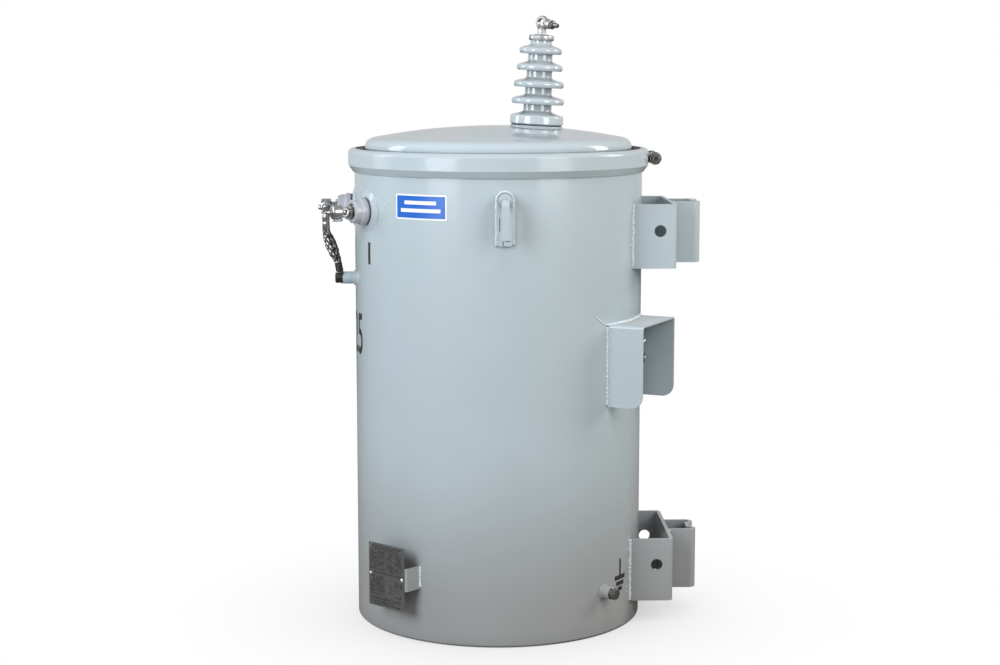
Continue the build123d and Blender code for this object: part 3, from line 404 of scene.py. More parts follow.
def merged_copy(node, name):
    """A copy of a fitted node with its loose triangles joined, for rounding its edges."""
    twin = copied(NODES[node], name)
    twin.parent = None
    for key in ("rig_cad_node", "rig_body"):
        if key in twin:
            del twin[key]
    pick(twin)
    bpy.ops.mesh.customdata_custom_splitnormals_clear()
    edit()
    bpy.ops.mesh.remove_doubles(threshold=0.00002)
    bpy.ops.mesh.dissolve_limited(angle_limit=math.radians(1.0))
    done()
    return twin


def finish(piece, material, replaces=()):
    """Give a piece its finish and let it ride on the tank."""
    piece.data.materials.clear()
    piece.data.materials.append(bpy.data.materials[material])
    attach(piece, BODY)
    if replaces:
        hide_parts(*replaces)
    return piece


def paint(material, *names):
    """Give fitted nodes a finish."""
    for name in names:
        slots = NODES[name].data.materials
        slots.clear()
        slots.append(bpy.data.materials[material])


# ---------------------------------------------------------------- shared effects
DRAWN = (1.0, 1.0, 8.0)
EVEN = (1.0, 1.0, 1.0)


def new_group(name, inputs, outputs):
    """A group that takes a vector and the named inputs, and gives the named values."""
    group = bpy.data.node_groups.new(name, "ShaderNodeTree")
    for label, value in {"Vector": (0.0, 0.0, 0.0), **inputs}.items():
        kind = "NodeSocketVector" if isinstance(value, tuple) else "NodeSocketFloat"
        socket = group.interface.new_socket(label, in_out="INPUT", socket_type=kind)
        socket.default_value = value
    for label in outputs:
        group.interface.new_socket(label, in_out="OUTPUT", socket_type="NodeSocketFloat")
    return group, group.nodes.new("NodeGroupInput"), group.nodes.new("NodeGroupOutput")


def node(tree, kind, settings=None, **inputs):
    made = tree.nodes.new(kind)
    for key, value in (settings or {}).items():
        setattr(made, key, value)
    for key, value in inputs.items():
        made.inputs[key.replace("_", " ")].default_value = value
    return made


def wire(tree, source, output, target, socket):
    tree.links.new(source.outputs[output], target.inputs[socket])


def ranged(tree, source, output, low, high, to_low, to_high):
    made = node(tree, "ShaderNodeMapRange", {"interpolation_type": "SMOOTHSTEP"},
                From_Min=low, From_Max=high, To_Min=to_low, To_Max=to_high)
    wire(tree, source, output, made, "Value")
    return made


def added(tree, operation, first, second):
    """Combine two (node, output) pairs, or a pair and a number."""
    made = node(tree, "ShaderNodeMath", {"operation": operation})
    for index, term in enumerate((first, second)):
        if isinstance(term, tuple):
            tree.links.new(term[0].outputs[term[1]], made.inputs[index])
        else:
            made.inputs[index].default_value = term
    return made


def build_spray_group():
    """The slow ripple and fine dimple of sprayed enamel."""
    group, inside, out = new_group(
        "Spray Ripple", {"Ripple Scale": 90.0, "Dimple Scale": 520.0}, ("Height", "Mottle"))
    ripple = node(group, "ShaderNodeTexNoise", Detail=1.0, Roughness=0.4)
    dimple = node(group, "ShaderNodeTexNoise", Detail=2.0, Roughness=0.5)
    mottle = node(group, "ShaderNodeTexNoise", Scale=7.0, Detail=3.0, Roughness=0.55)
    for texture in (ripple, dimple, mottle):
        wire(group, inside, "Vector", texture, "Vector")
    wire(group, inside, "Ripple Scale", ripple, "Scale")
    wire(group, inside, "Dimple Scale", dimple, "Scale")
    share = added(group, "MULTIPLY", (dimple, 0), 0.35)
    height = added(group, "ADD", (ripple, 0), (share, 0))
    wire(group, height, 0, out, "Height")
    spread = ranged(group, mottle, 0, 0.35, 0.68, 0.0, 1.0)
    wire(group, spread, 0, out, "Mottle")
    return group


def build_speck_group():
    """Small scattered specks: spatter, pinholes and grit."""
    group, inside, out = new_group("Specks", {"Scale": 300.0, "Size": 0.1, "Share": 0.2}, ("Mask",))
    cells = node(group, "ShaderNodeTexVoronoi", {"feature": "F1"}, Randomness=1.0)
    choose = node(group, "ShaderNodeTexNoise", Detail=1.0)
    wire(group, inside, "Vector", cells, "Vector")
    wire(group, inside, "Scale", cells, "Scale")
    wire(group, inside, "Vector", choose, "Vector")
    thin = added(group, "MULTIPLY", (inside, "Scale"), 0.31)
    wire(group, thin, 0, choose, "Scale")
    near = added(group, "LESS_THAN", (cells, "Distance"), (inside, "Size"))
    limit = added(group, "SUBTRACT", 0.75, (inside, "Share"))
    some = added(group, "GREATER_THAN", (choose, 0), (limit, 0))
    mask = added(group, "MULTIPLY", (near, 0), (some, 0))
    wire(group, mask, 0, out, "Mask")
    return group


def build_grain_group():
    """Directional grain of drawn or brushed metal, with a slow stain over it."""
    group, inside, out = new_group(
        "Metal Grain", {"Scale": 260.0, "Stretch": DRAWN}, ("Grain", "Stain", "Height"))
    stretched = node(group, "ShaderNodeVectorMath", {"operation": "MULTIPLY"})
    wire(group, inside, "Vector", stretched, 0)
    wire(group, inside, "Stretch", stretched, 1)
    grain = node(group, "ShaderNodeTexNoise", Detail=5.0, Roughness=0.65)
    stain = node(group, "ShaderNodeTexNoise", Scale=95.0, Detail=4.0, Roughness=0.6)
    wire(group, stretched, 0, grain, "Vector")
    wire(group, inside, "Scale", grain, "Scale")
    wire(group, inside, "Vector", stain, "Vector")
    grain_range = ranged(group, grain, 0, 0.3, 0.7, 0.0, 1.0)
    stain_range = ranged(group, stain, 0, 0.35, 0.65, 0.0, 1.0)
    wire(group, grain_range, 0, out, "Grain")
    wire(group, stain_range, 0, out, "Stain")
    height = added(group, "ADD", (grain, 0), (stain, 0))
    wire(group, height, 0, out, "Height")
    return group


def build_wear_group():
    """Coat rubbed thin along edges, broken up by noise; on the tank enamel the lighter edge is partly a
    painted highlight.
    """
    group, inside, out = new_group("Edge Rub And Sheen", {"Radius": 0.0012, "Amount": 0.5}, ("Rub",))
    shape = node(group, "ShaderNodeNewGeometry")
    rounded = node(group, "ShaderNodeBevel", {"samples": 4})
    wire(group, inside, "Radius", rounded, "Radius")
    turn = node(group, "ShaderNodeVectorMath", {"operation": "DOT_PRODUCT"})
    wire(group, shape, "Normal", turn, 0)
    wire(group, rounded, "Normal", turn, 1)
    breaks = node(group, "ShaderNodeTexNoise", Scale=170.0, Detail=4.0, Roughness=0.7)
    wire(group, inside, "Vector", breaks, "Vector")
    edge = ranged(group, turn, "Value", 0.985, 0.90, 0.0, 1.0)
    some = ranged(group, breaks, 0, 0.42, 0.60, 0.0, 1.0)
    rub = added(group, "MULTIPLY", (edge, 0), (some, 0))
    scaled = added(group, "MULTIPLY", (rub, 0), (inside, "Amount"))
    wire(group, scaled, 0, out, "Rub")
    return group


GROUP_BUILDERS = {
    "Spray Ripple": build_spray_group,
    "Specks": build_speck_group,
    "Metal Grain": build_grain_group,
    "Edge Rub And Sheen": build_wear_group,
}


def shared(tree, name, coords, **inputs):
    """Place a shared effect in a material's tree, fed with object coordinates."""
    group = bpy.data.node_groups.get(name) or GROUP_BUILDERS[name]()
    made = node(tree, "ShaderNodeGroup", {"node_tree": group}, **inputs)
    wire(tree, coords, "Object", made, "Vector")
    return made


# ---------------------------------------------------------------- finishes
def new_material(name, colour, roughness, metallic=0.0, **sockets):
    material = bpy.data.materials.new(name)
    material.use_nodes = True
    tree = material.node_tree
    shader = tree.nodes["Principled BSDF"]
    shader.inputs["Base Color"].default_value = (*colour, 1.0)
    shader.inputs["Roughness"].default_value = roughness
    shader.inputs["Metallic"].default_value = metallic
    for key, value in sockets.items():
        shader.inputs[key.replace("_", " ")].default_value = value
    material.diffuse_color = (*colour, 1.0)
    return tree, shader, tree.nodes.new("ShaderNodeTexCoord")


def mixed(tree, factor, first, second, blend="MIX"):
    """Mix two colours, each an RGB tuple or a (node, output) pair, by a (node, output) mask."""
    made = node(tree, "ShaderNodeMix", {"data_type": "RGBA", "blend_type": blend})
    if isinstance(factor, tuple):
        tree.links.new(factor[0].outputs[factor[1]], made.inputs[0])
    else:
        made.inputs[0].default_value = factor
    for index, colour in ((6, first), (7, second)):
        if isinstance(colour[0], (int, float)):
            made.inputs[index].default_value = (*colour, 1.0)
        else:
            tree.links.new(colour[0].outputs[colour[1]], made.inputs[index])
    return made


def bumped(tree, source, output, shader, distance, strength=1.0):
    bump = node(tree, "ShaderNodeBump", Distance=distance, Strength=strength)
    wire(tree, source, output, bump, "Height")
    wire(tree, bump, 0, shader, "Normal")
    return bump


def varied_roughness(tree, source, output, shader, low, high):
    made = node(tree, "ShaderNodeMapRange", To_Min=low, To_Max=high)
    wire(tree, source, output, made, "Value")
    wire(tree, made, 0, shader, "Roughness")


def make_enamel(name, settings, gloss=1.0):
    """Gloss tank enamel: orange peel, mottle, settled dust, painted shade in corners, recesses and towards
    the foot, and lighter edges that are partly a thinner coat and partly a painted highlight.
    """
    rough = settings.roughness * gloss
    tree, shader, coords = new_material(name, settings.colour, rough)
    shader.inputs["Specular IOR Level"].default_value = 0.26 + 0.08 / gloss
    spray = shared(tree, "Spray Ripple", coords)
    wear = shared(tree, "Edge Rub And Sheen", coords, Amount=0.35)
    specks = shared(tree, "Specks", coords, Scale=75.0, Size=0.050, Share=0.12)
    tone = mixed(tree, (spray, "Mottle"), tuple(settings.shade), tuple(settings.colour))
    # Lighter edges: partly a thinner coat, partly a painted edge highlight.
    rubbed = mixed(tree, (wear, "Rub"), (tone, 2), (0.62, 0.68, 0.70))
    normal = node(tree, "ShaderNodeNewGeometry")
    split = node(tree, "ShaderNodeSeparateXYZ")
    wire(tree, normal, "Normal", split, 0)
    level = ranged(tree, split, "Z", 0.75, 1.0, 0.0, 0.22)
    settled = added(tree, "MULTIPLY", (level, 0), (spray, "Mottle"))
    dusty = mixed(tree, (settled, 0), (rubbed, 2), tuple(settings.dust))
    fleck = added(tree, "MULTIPLY", (specks, "Mask"), 0.35)
    flecked = mixed(tree, (fleck, 0), (dusty, 2), (0.33, 0.36, 0.36))
    # Painted shade: the enamel darkens towards the bottom of the tank.
    place = node(tree, "ShaderNodeSeparateXYZ")
    wire(tree, coords, "Object", place, 0)
    low = ranged(tree, place, "Z", 0.04, 0.36, 0.78, 0.0)
    foot_shaded = mixed(tree, (low, 0), (flecked, 2), tuple(settings.film))
    # Painted shade: a short occlusion reach darkens creases, weld toes and the gaps between parts.
    corner = node(tree, "ShaderNodeAmbientOcclusion", {"samples": 8}, Distance=0.007)
    grime = ranged(tree, corner, "AO", 0.28, 0.62, 0.85, 0.0)
    crevice_shaded = mixed(tree, (grime, 0), (foot_shaded, 2), (0.10, 0.105, 0.11))
    # Painted shade: a wide occlusion reach darkens recesses, the brackets' insides and the wall round and
    # under fitted parts.
    recess = node(tree, "ShaderNodeAmbientOcclusion", {"samples": 8}, Distance=0.060)
    shade_mask = ranged(tree, recess, "AO", 0.15, 0.80, 0.60, 0.0)
    shaded = mixed(tree, (shade_mask, 0), (crevice_shaded, 2), tuple(settings.grime))
    wire(tree, shaded, 2, shader, "Base Color")
    varied_roughness(tree, spray, "Mottle", shader, rough * 1.08, rough * 0.96)
    bumped(tree, spray, "Height", shader, settings.peel)


def make_coat(name, colour, rough, spray, tones, roughness, depth,
              specks=None, rub=None, recess=None, **sockets):
    """A glazed, cast or printed surface: two mottled tones, with specks, rubbed edges or painted shade in
    recesses.
    """
    tree, shader, coords = new_material(name, colour, rough, **sockets)
    ripple = shared(tree, "Spray Ripple", coords, Ripple_Scale=spray[0], Dimple_Scale=spray[1])
    tone = mixed(tree, (ripple, "Mottle"), *tones)
    if specks:
        (scale, size, share), amount, fleck_colour = specks
        grit = shared(tree, "Specks", coords, Scale=scale, Size=size, Share=share)
        fleck = added(tree, "MULTIPLY", (grit, "Mask"), amount)
        tone = mixed(tree, (fleck, 0), (tone, 2), fleck_colour)
    if rub:
        amount, rub_colour = rub
        wear = shared(tree, "Edge Rub And Sheen", coords, Amount=amount)
        tone = mixed(tree, (wear, "Rub"), (tone, 2), rub_colour)
    # Painted shade: an occlusion term darkens recesses, such as the undersides of the bushing's sheds.
    if recess:
        reach, limits, depth_share, shade_colour = recess
        corner = node(tree, "ShaderNodeAmbientOcclusion", {"samples": 8}, Distance=reach)
        shade_mask = ranged(tree, corner, "AO", *limits, depth_share, 0.0)
        tone = mixed(tree, (shade_mask, 0), (tone, 2), shade_colour)
    wire(tree, tone, 2, shader, "Base Color")
    varied_roughness(tree, ripple, "Mottle", shader, *roughness)
    bumped(tree, ripple, "Height", shader, depth)


def make_porcelain(name):
    """Glazed sky grey porcelain: a deep clear glaze over a faintly clouded body, with painted shade under its
    sheds.
    """
    make_coat(name, (0.485, 0.515, 0.553), 0.10, (60.0, 300.0), ((0.46, 0.522, 0.555), (0.51, 0.563, 0.595)),
              (0.13, 0.08), 0.00005, specks=((420.0, 0.16, 0.2), 0.4, (0.30, 0.33, 0.34)),
              recess=(0.022, (0.20, 0.85), 0.72, (0.17, 0.165, 0.18)), Coat_Weight=0.6, Coat_Roughness=0.04)


def make_resin(name):
    """Moulded epoxy of the side bushings: satin, slightly flow-marked."""
    make_coat(name, (0.42, 0.43, 0.475), 0.20, (140.0, 900.0), ((0.40, 0.41, 0.455), (0.435, 0.445, 0.49)),
              (0.23, 0.18), 0.00004, rub=(0.5, (0.68, 0.73, 0.75)))


def make_rubber(name):
    """Moulded nitrile and cork gasket: matt, granular, with a bloom of dust."""
    make_coat(name, (0.035, 0.035, 0.038), 0.75, (400.0, 1600.0),
              ((0.024, 0.024, 0.026), (0.055, 0.054, 0.052)), (0.85, 0.62), 0.00012,
              specks=((900.0, 0.30, 0.30), 0.35, (0.12, 0.10, 0.08)))


def make_moulding(name, colour, rough):
    """Moulded plastic with a fine spark-eroded texture."""
    lighter = tuple(min(1.0, part * 1.8 + 0.015) for part in colour)
    rubbed = tuple(part * 2.5 + 0.03 for part in colour)
    make_coat(name, colour, rough, (700.0, 2200.0), (colour, lighter), (rough * 1.2, rough * 0.8), 0.00006,
              rub=(0.7, rubbed))


def make_ink(name, colour, rough):
    """Stencilled or printed ink film, thin in places."""
    lighter = tuple(min(1.0, part * 1.15 + 0.006) for part in colour)
    thin = tuple(min(1.0, part + 0.12) for part in colour)
    make_coat(name, colour, rough, (200.0, 900.0), (colour, lighter), (rough * 1.15, rough * 0.85), 0.00002,
              specks=((700.0, 0.22, 0.22), 0.15, thin))


def make_metal(name, colour, stain, bright, rough,
               stretch=DRAWN, scale=260.0, depth=0.00003, metallic=1.0):
    """A bare or plated metal: grain, stains, and edges rubbed bright."""
    tree, shader, coords = new_material(name, colour, rough, metallic)
    grain = shared(tree, "Metal Grain", coords, Scale=scale, Stretch=stretch)
    wear = shared(tree, "Edge Rub And Sheen", coords, Amount=0.9)
    body = mixed(tree, (grain, "Stain"), stain, colour)
    soft = added(tree, "MULTIPLY", (grain, "Grain"), 0.35)
    grained = mixed(tree, (soft, 0), (body, 2), bright)
    rubbed = mixed(tree, (wear, "Rub"), (grained, 2), bright)
    wire(tree, rubbed, 2, shader, "Base Color")
    varied_roughness(tree, grain, "Stain", shader, min(1.0, rough * 1.45), rough * 0.75)
    bumped(tree, grain, "Height", shader, depth)


# Metals: colour, stain, rubbed edge and roughness, then the grain's stretch, scale, depth and metallic share.
METALS = {
    "Dulled Zinc": ((0.17, 0.168, 0.166), (0.08, 0.078, 0.076), (0.40, 0.395, 0.39), 0.28),
    "Tinned Bronze": ((0.40, 0.404, 0.408), (0.28, 0.283, 0.286), (0.62, 0.625, 0.63), 0.27,
                      EVEN, 330.0, 0.000008),
    "Matt Tin": ((0.45, 0.45, 0.455), (0.40, 0.40, 0.405), (0.54, 0.54, 0.54), 0.44, EVEN, 330.0, 0.000008),
    "Dulled Tin": ((0.36, 0.34, 0.31), (0.20, 0.18, 0.155), (0.66, 0.64, 0.60), 0.24),
    "Tinned Braid": ((0.095, 0.093, 0.090), (0.05, 0.049, 0.047), (0.30, 0.295, 0.288), 0.30, EVEN, 600.0),
    "Plate Alloy": ((0.165, 0.166, 0.167), (0.13, 0.13, 0.13), (0.20, 0.20, 0.20), 0.42,
                    (1.0, 1.0, 0.15), 900.0, 0.00001, 0.7),
    "Etched Lines": ((0.022, 0.022, 0.022), (0.015, 0.015, 0.015), (0.03, 0.03, 0.03), 0.55,
                     EVEN, 900.0, 0.00001, 0.4),
    "Corner Line": ((0.50, 0.50, 0.49), (0.40, 0.40, 0.39), (0.62, 0.62, 0.61), 0.40,
                    EVEN, 700.0, 0.00001, 0.8),
    "Dark Lug": ((0.075, 0.074, 0.072), (0.04, 0.039, 0.037), (0.15, 0.148, 0.144), 0.40, EVEN, 420.0),
    # Seam strips: a flat dark sheet that paints shade into the gaps round the lifting hooks.
    "Seam Grime": ((0.045, 0.045, 0.045), (0.03, 0.03, 0.03), (0.07, 0.07, 0.07), 0.85,
                   DRAWN, 260.0, 0.00003, 0.0),
    "Bright Screw": ((0.55, 0.55, 0.55), (0.40, 0.40, 0.39), (0.92, 0.92, 0.91), 0.22, EVEN, 500.0),
}


def make_finishes(enamel_settings, marking_settings):
    make_enamel("Tank Enamel", enamel_settings)
    make_enamel("Cover Enamel", enamel_settings, 0.40)
    make_porcelain("Grey Glaze")
    make_resin("Cast Resin")
    make_rubber("Gasket Rubber")
    for name, (colour, stain, bright, rough, *grain) in METALS.items():
        make_metal(name, colour, stain, bright, rough, *grain)
    make_moulding("Black Moulding", (0.018, 0.018, 0.019), 0.45)
    # Painted highlight: beads and spatter take a lighter tone than the enamel that coats them, for the glints
    # along them.
    make_ink("Bead Glint Enamel", (0.60, 0.665, 0.69), 0.20)
    make_ink("Stencil Ink", (0.008, 0.008, 0.009), 0.55)
    make_ink("Label Field", tuple(marking_settings.label_colour), 0.30)
    make_ink("Label Border", (0.82, 0.83, 0.83), 0.32)


# ---------------------------------------------------------------- stage
CAMERA_REACH = 3.3825
CAMERA_HEIGHT = 0.9742
CAMERA_AZIMUTH = 88.5
CAMERA_DOWN = 7.765
CAMERA_LENS = 68.61
CAMERA_SHIFT = (0.00168, -0.00454)
AMBIENT = 0.15
GLOSS_WORLD = 0.62
FLOOR_TONE = (0.32, 0.295, 0.275)
SOFTBOX = (0.95, 1.6)
STRIP = (0.95, 0.16)
STRIP_SHARE = 0.08


def add_lamp(name, place, target, size, power, colour, mirrored=True):
    """Softbox: a rectangular area lamp that faces its target, and shows in gloss if mirrored."""
    deselect()
    bpy.ops.object.light_add(type="AREA", location=place)
    lamp = active()
    lamp.name = name
    lamp.data.shape = "RECTANGLE"
    lamp.data.size, lamp.data.size_y = size
    lamp.data.energy = power
    lamp.data.color = colour
    lamp.visible_camera = False
    lamp.visible_glossy = mirrored
    lamp.rotation_euler = (Vector(target) - Vector(place)).to_track_quat("-Z", "Y").to_euler()
    return lamp


def limit_lamp(lamp, rule):
    """Keep a lamp's light off the cover (EXCLUDE) or on the cover alone (INCLUDE)."""
    group = bpy.data.collections.new(lamp.name + " Reach")
    group.objects.link(NODES["cover"])
    group.collection_objects[0].light_linking.link_state = rule
    lamp.light_linking.receiver_collection = group


def front_lamps(name, place, power, colour):
    """A front softbox, with a twin for the cover that its gloss shows only as a narrow strip."""
    ahead = (0.0, 0.0, place[2])
    limit_lamp(add_lamp(name, place, ahead, SOFTBOX, power, colour), "EXCLUDE")
    limit_lamp(add_lamp(name + " Over Cover", place, ahead, SOFTBOX, power, colour, False), "INCLUDE")
    limit_lamp(add_lamp(name + " Strip", place, ahead, STRIP, power * STRIP_SHARE, colour), "INCLUDE")


def make_world():
    """White where it is seen directly, paler grey in gloss, and dimmer as a light."""
    world = bpy.data.worlds.new("Studio")
    bpy.context.scene.world = world
    world.use_nodes = True
    tree = world.node_tree
    background = tree.nodes["Background"]
    background.inputs["Color"].default_value = (1.0, 1.0, 1.0, 1.0)
    path = tree.nodes.new("ShaderNodeLightPath")
    gloss = added(tree, "MULTIPLY", (path, "Is Glossy Ray"), GLOSS_WORLD)
    direct = added(tree, "MAXIMUM", (path, "Is Camera Ray"), (path, "Is Transmission Ray"))
    seen = added(tree, "MAXIMUM", (gloss, 0), (direct, 0))
    strength = added(tree, "MAXIMUM", (seen, 0), AMBIENT)
    wire(tree, strength, 0, background, "Strength")


def make_floor_material():
    """Pale floor: plain white where it is seen directly, apart from the object's soft shadow."""
    material = bpy.data.materials.new("Studio Floor")
    material.use_nodes = True
    tree = material.node_tree
    shader = tree.nodes["Principled BSDF"]
    shader.inputs["Base Color"].default_value = (*FLOOR_TONE, 1.0)
    shader.inputs["Roughness"].default_value = 0.9
    shader.inputs["Specular IOR Level"].default_value = 0.0
    contact = node(tree, "ShaderNodeAmbientOcclusion", {"samples": 12}, Distance=0.35)
    shade = node(tree, "ShaderNodeMath", {"operation": "POWER"})
    wire(tree, contact, "AO", shade, 0)
    shade.inputs[1].default_value = 0.28
    glow = tree.nodes.new("ShaderNodeEmission")
    wire(tree, shade, 0, glow, "Strength")
    path = tree.nodes.new("ShaderNodeLightPath")
    direct = added(tree, "MAXIMUM", (path, "Is Camera Ray"), (path, "Is Transmission Ray"))
    blend = tree.nodes.new("ShaderNodeMixShader")
    tree.links.new(direct.outputs[0], blend.inputs[0])
    tree.links.new(shader.outputs[0], blend.inputs[1])
    tree.links.new(glow.outputs[0], blend.inputs[2])
    tree.links.new(blend.outputs[0], tree.nodes["Material Output"].inputs["Surface"])
    return material


class TRANSFORMER_OT_stage(bpy.types.Operator):
    """Set up the camera, the softboxes and the pale floor"""
    bl_idname = "transformer.stage"
    bl_label = "Studio"

    def execute(self, context):
        azimuth = math.radians(CAMERA_AZIMUTH)
        place = (CAMERA_REACH * math.sin(azimuth), -CAMERA_REACH * math.cos(azimuth), CAMERA_HEIGHT)
        turn = (math.radians(90.0 - CAMERA_DOWN), 0.0, azimuth)
        deselect()
        bpy.ops.object.camera_add(location=place, rotation=turn)
        camera = active()
        camera.data.lens = CAMERA_LENS
        camera.data.sensor_width = 36.0
        camera.data.shift_x, camera.data.shift_y = CAMERA_SHIFT
        camera.data.clip_end = 50.0
        context.scene.camera = camera
        make_world()
        bpy.ops.mesh.primitive_plane_add(size=16.0, location=(0.0, 0.0, -0.0005))
        floor = named(active(), "studio_floor")
        apply_place(floor)
        floor.data.materials.append(make_floor_material())
        middle = (0.0, 0.0, 1.15)
        front_lamps("Key Softbox", (1.70, -1.56, 1.45), 44.0, (0.90, 0.96, 1.0))
        front_lamps("Fill Softbox", (1.77, 1.46, 1.45), 28.0, (0.99, 1.0, 0.96))
        add_lamp("Left Softbox", (-0.3, -2.6, 1.5), middle, (0.8, 1.6), 21.0, (0.96, 0.98, 1.0))
        add_lamp("Right Softbox", (-0.2, 2.6, 1.7), middle, (0.8, 1.4), 29.0, (1.0, 0.99, 0.96))
        add_lamp("Top Softbox", (1.3, 0.0, 3.0), middle, (1.6, 1.6), 20.0, (1.0, 0.94, 1.0), False)
        add_lamp("Back Softbox", (-2.4, 0.0, 0.55), (0.0, 0.0, 0.5), (1.2, 0.9), 12.0, (1.0, 1.0, 1.0), False)
        context.scene.view_settings.view_transform = "Standard"
        return {"FINISHED"}


class TRANSFORMER_OT_finishes(bpy.types.Operator):
    """Make the finishes and give each fitted part its own"""
    bl_idname = "transformer.finishes"
    bl_label = "Finishes"

    def execute(self, context):
        make_finishes(context.scene.transformer_enamel, context.scene.transformer_markings)
        paint("Cover Enamel", "cover")
        paint("Tank Enamel", "tank_bottom", "tank_shell", "cover_band", "band_barrels", "lv_pads",
              "front_ground_boss", "rear_ground_boss", *BRACKET_NAMES, *HANGER_NAMES,
              "tap_hood", "tap_flange", "lifting_plates", "lifting_hooks", "nameplate_bracket")
        paint("Grey Glaze", "hv_bushing")
        paint("Cast Resin", "lv_bushings")
        paint("Gasket Rubber", "cover_gasket", "hv_gasket", "lv_gaskets")
        paint("Dulled Zinc", "band_bolt", "hv_clamp_bolt", "front_ground_bolt", "rear_ground_bolt",
              "nameplate_screws")
        paint("Bright Screw", "tap_screw", "tap_lock_bolt")
        paint("Matt Tin", "hv_cap", "hv_terminal")
        paint("Tinned Bronze", "outer_clamps", "centre_clamp")
        paint("Dulled Tin", "lv_studs")
        paint("Tinned Braid", "strap_lower_lug", "strap_upper_lug", "ground_braid")
        paint("Black Moulding", "tap_knob")
        paint("Plate Alloy", "nameplate")
        return {"FINISHED"}


# ---------------------------------------------------------------- welds and plate edges
HOOD_ANGLE = 27.3
LUG_ANGLE = 89.1
ON_WALL = Matrix(((0, 0, 1, 0), (1, 0, 0, 0), (0, 1, 0, 0), (0, 0, 0, 1)))
# Width and height of the heavier beads, and the radius of a grain of spatter.
BRACKET_BEAD = (0.0078, 0.0030)
LUG_BEAD = (0.006, 0.0022)
TAIL_BEAD = (0.0032, 0.0014)
BRACKET_GRAIN = 0.0017
TERMINAL_GRAIN = 0.0016
HOOD_HALF = 0.0755
HOOD_TAIL = (0.026, 0.016)
LUG_HALF = 0.0135
LUG_FACE = TANK_RADIUS + 0.00604


def rounded_copy(node_name, width, segments=2):
    """A fitted node's copy with the soft edge that a coat of paint gives it."""
    twin = merged_copy(node_name, node_name + "_finished")
    soften(twin, width, segments, 30.0)
    finish(twin, "Tank Enamel", (node_name,))
    return twin


def weld(name, stations, seed, width=None, height=0.0019):
    """A painted bead along its stations, as wide as the settings say unless it has its own width."""
    hardware = bpy.context.scene.transformer_hardware
    made = bead(name, stations, width or hardware.bead_width, height, hardware.ripple_pitch, seed)
    # The bead's lighter enamel is a painted highlight.
    return finish(made, "Bead Glint Enamel")


def moved(stations, matrix):
    turn = matrix.to_3x3()
    return [(matrix @ place, turn @ normal) for place, normal in stations]


def upright(x, y, low, high, normal):
    """Stations of a vertical seam."""
    facing = Vector(normal).normalized()
    return [(Vector((x, y, level)), facing) for level in (high, low)]


def spatter(name, places, size, seed):
    """Small grains of weld metal, painted over, scattered round the given places."""
    chance = random.Random(seed)
    deselect()
    bpy.ops.mesh.primitive_ico_sphere_add(subdivisions=1, radius=size)
    grain = named(active(), name + ".grain")
    edit()
    bpy.ops.transform.resize(value=(1.0, 0.8, 1.15))
    done()
    grains = []
    for place in places:
        scale = chance.uniform(0.5, 1.15)
        turn = Matrix.Rotation(chance.uniform(0, 6.0), 4, "Z")
        grains.append(copied(grain, name, Matrix.Translation(place) @ turn @ Matrix.Scale(scale, 4)))
    remove(grain)
    made = join(grains, name)
    smooth(made, 80.0)
    # The grains' lighter enamel is a painted highlight.
    return finish(made, "Bead Glint Enamel")


class TRANSFORMER_OT_brackets(bpy.types.Operator):
    """Round the pole brackets' plate edges and weld them to the tank"""
    bl_idname = "transformer.brackets"
    bl_label = "Pole brackets"

    def execute(self, context):
        edge = context.scene.transformer_hardware.edge
        for seed, (bracket, hanger) in enumerate(zip(BRACKET_NAMES, HANGER_NAMES)):
            rounded_copy(bracket, edge)
            rounded_copy(hanger, edge)
            low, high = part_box(bracket)
            seam_y = wall(high.x)
            hanger_low, hanger_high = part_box(hanger)
            for side, label in ((1.0, "near"), (-1.0, "far")):
                tank_seam = upright(side * (high.x + 0.0008), seam_y + 0.0002,
                                    low.z + 0.002, high.z - 0.002, (side * 0.85, 0.53, 0.0))
                weld(bracket + "_weld_" + label, tank_seam, 11 + seed, *BRACKET_BEAD)
                leg_seam = upright(side * (hanger_high.x + 0.0006), hanger_low.y + 0.0006,
                                   hanger_low.z + 0.003, hanger_high.z - 0.003, (side, 1.0, 0.0))
                weld(hanger + "_weld_" + label, leg_seam, 21 + seed, 0.005)
            chance = random.Random(61 + seed)
            drops = []
            for _ in range(9):
                across = high.x + chance.uniform(0.002, 0.012)
                drops.append((across, wall(across), chance.uniform(low.z, high.z + 0.012)))
            spatter(bracket + "_spatter", drops, BRACKET_GRAIN, 71 + seed)
        return {"FINISHED"}


class TRANSFORMER_OT_hood(bpy.types.Operator):
    """Round the tap changer hood's folded sheet and weld it along the tank"""
    bl_idname = "transformer.hood"
    bl_label = "Tap changer hood"

    def execute(self, context):
        edge = context.scene.transformer_hardware.edge
        rounded_copy("tap_hood", edge * 0.7)
        low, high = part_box("tap_hood")
        place = outward(HOOD_ANGLE)
        over = []
        for step in range(25):
            across = HOOD_HALF * (step / 12.0 - 1.0)
            out = wall(across)
            facing = Vector((out, across, TANK_RADIUS)).normalized()
            over.append((Vector((out, across, high.z + 0.0004)), facing))
        weld("hood_top_weld", moved(over, place), 31, 0.0055)
        out = wall(HOOD_HALF)
        for side, label in ((1.0, "pole_side"), (-1.0, "front_side")):
            seam = upright(out, side * (HOOD_HALF + 0.0005), low.z + 0.004, high.z - 0.006, (0.4, side, 0.0))
            weld("hood_weld_" + label, moved(seam, place), 32, 0.005)
        tail = []
        for step in range(9):
            share = step / 8.0
            across = -HOOD_HALF - HOOD_TAIL[0] * share
            out = wall(across)
            rise = HOOD_TAIL[1] * share ** 1.6
            tail.append((Vector((out, across, high.z + rise)), Vector((out, across, 0.0)).normalized()))
        weld("hood_weld_tail", moved(tail, place), 33, *TAIL_BEAD)
        for name, chamfer, material, slot in (("tap_knob", 0.0006, "Black Moulding", "black_plastic"),
                                              ("tap_flange", 0.0009, "Tank Enamel", "tank_paint")):
            twin = merged_copy(name, name + "_finished")
            soften(twin, chamfer, 2, 32.0)
            finish(twin, material, (name,))
        return {"FINISHED"}


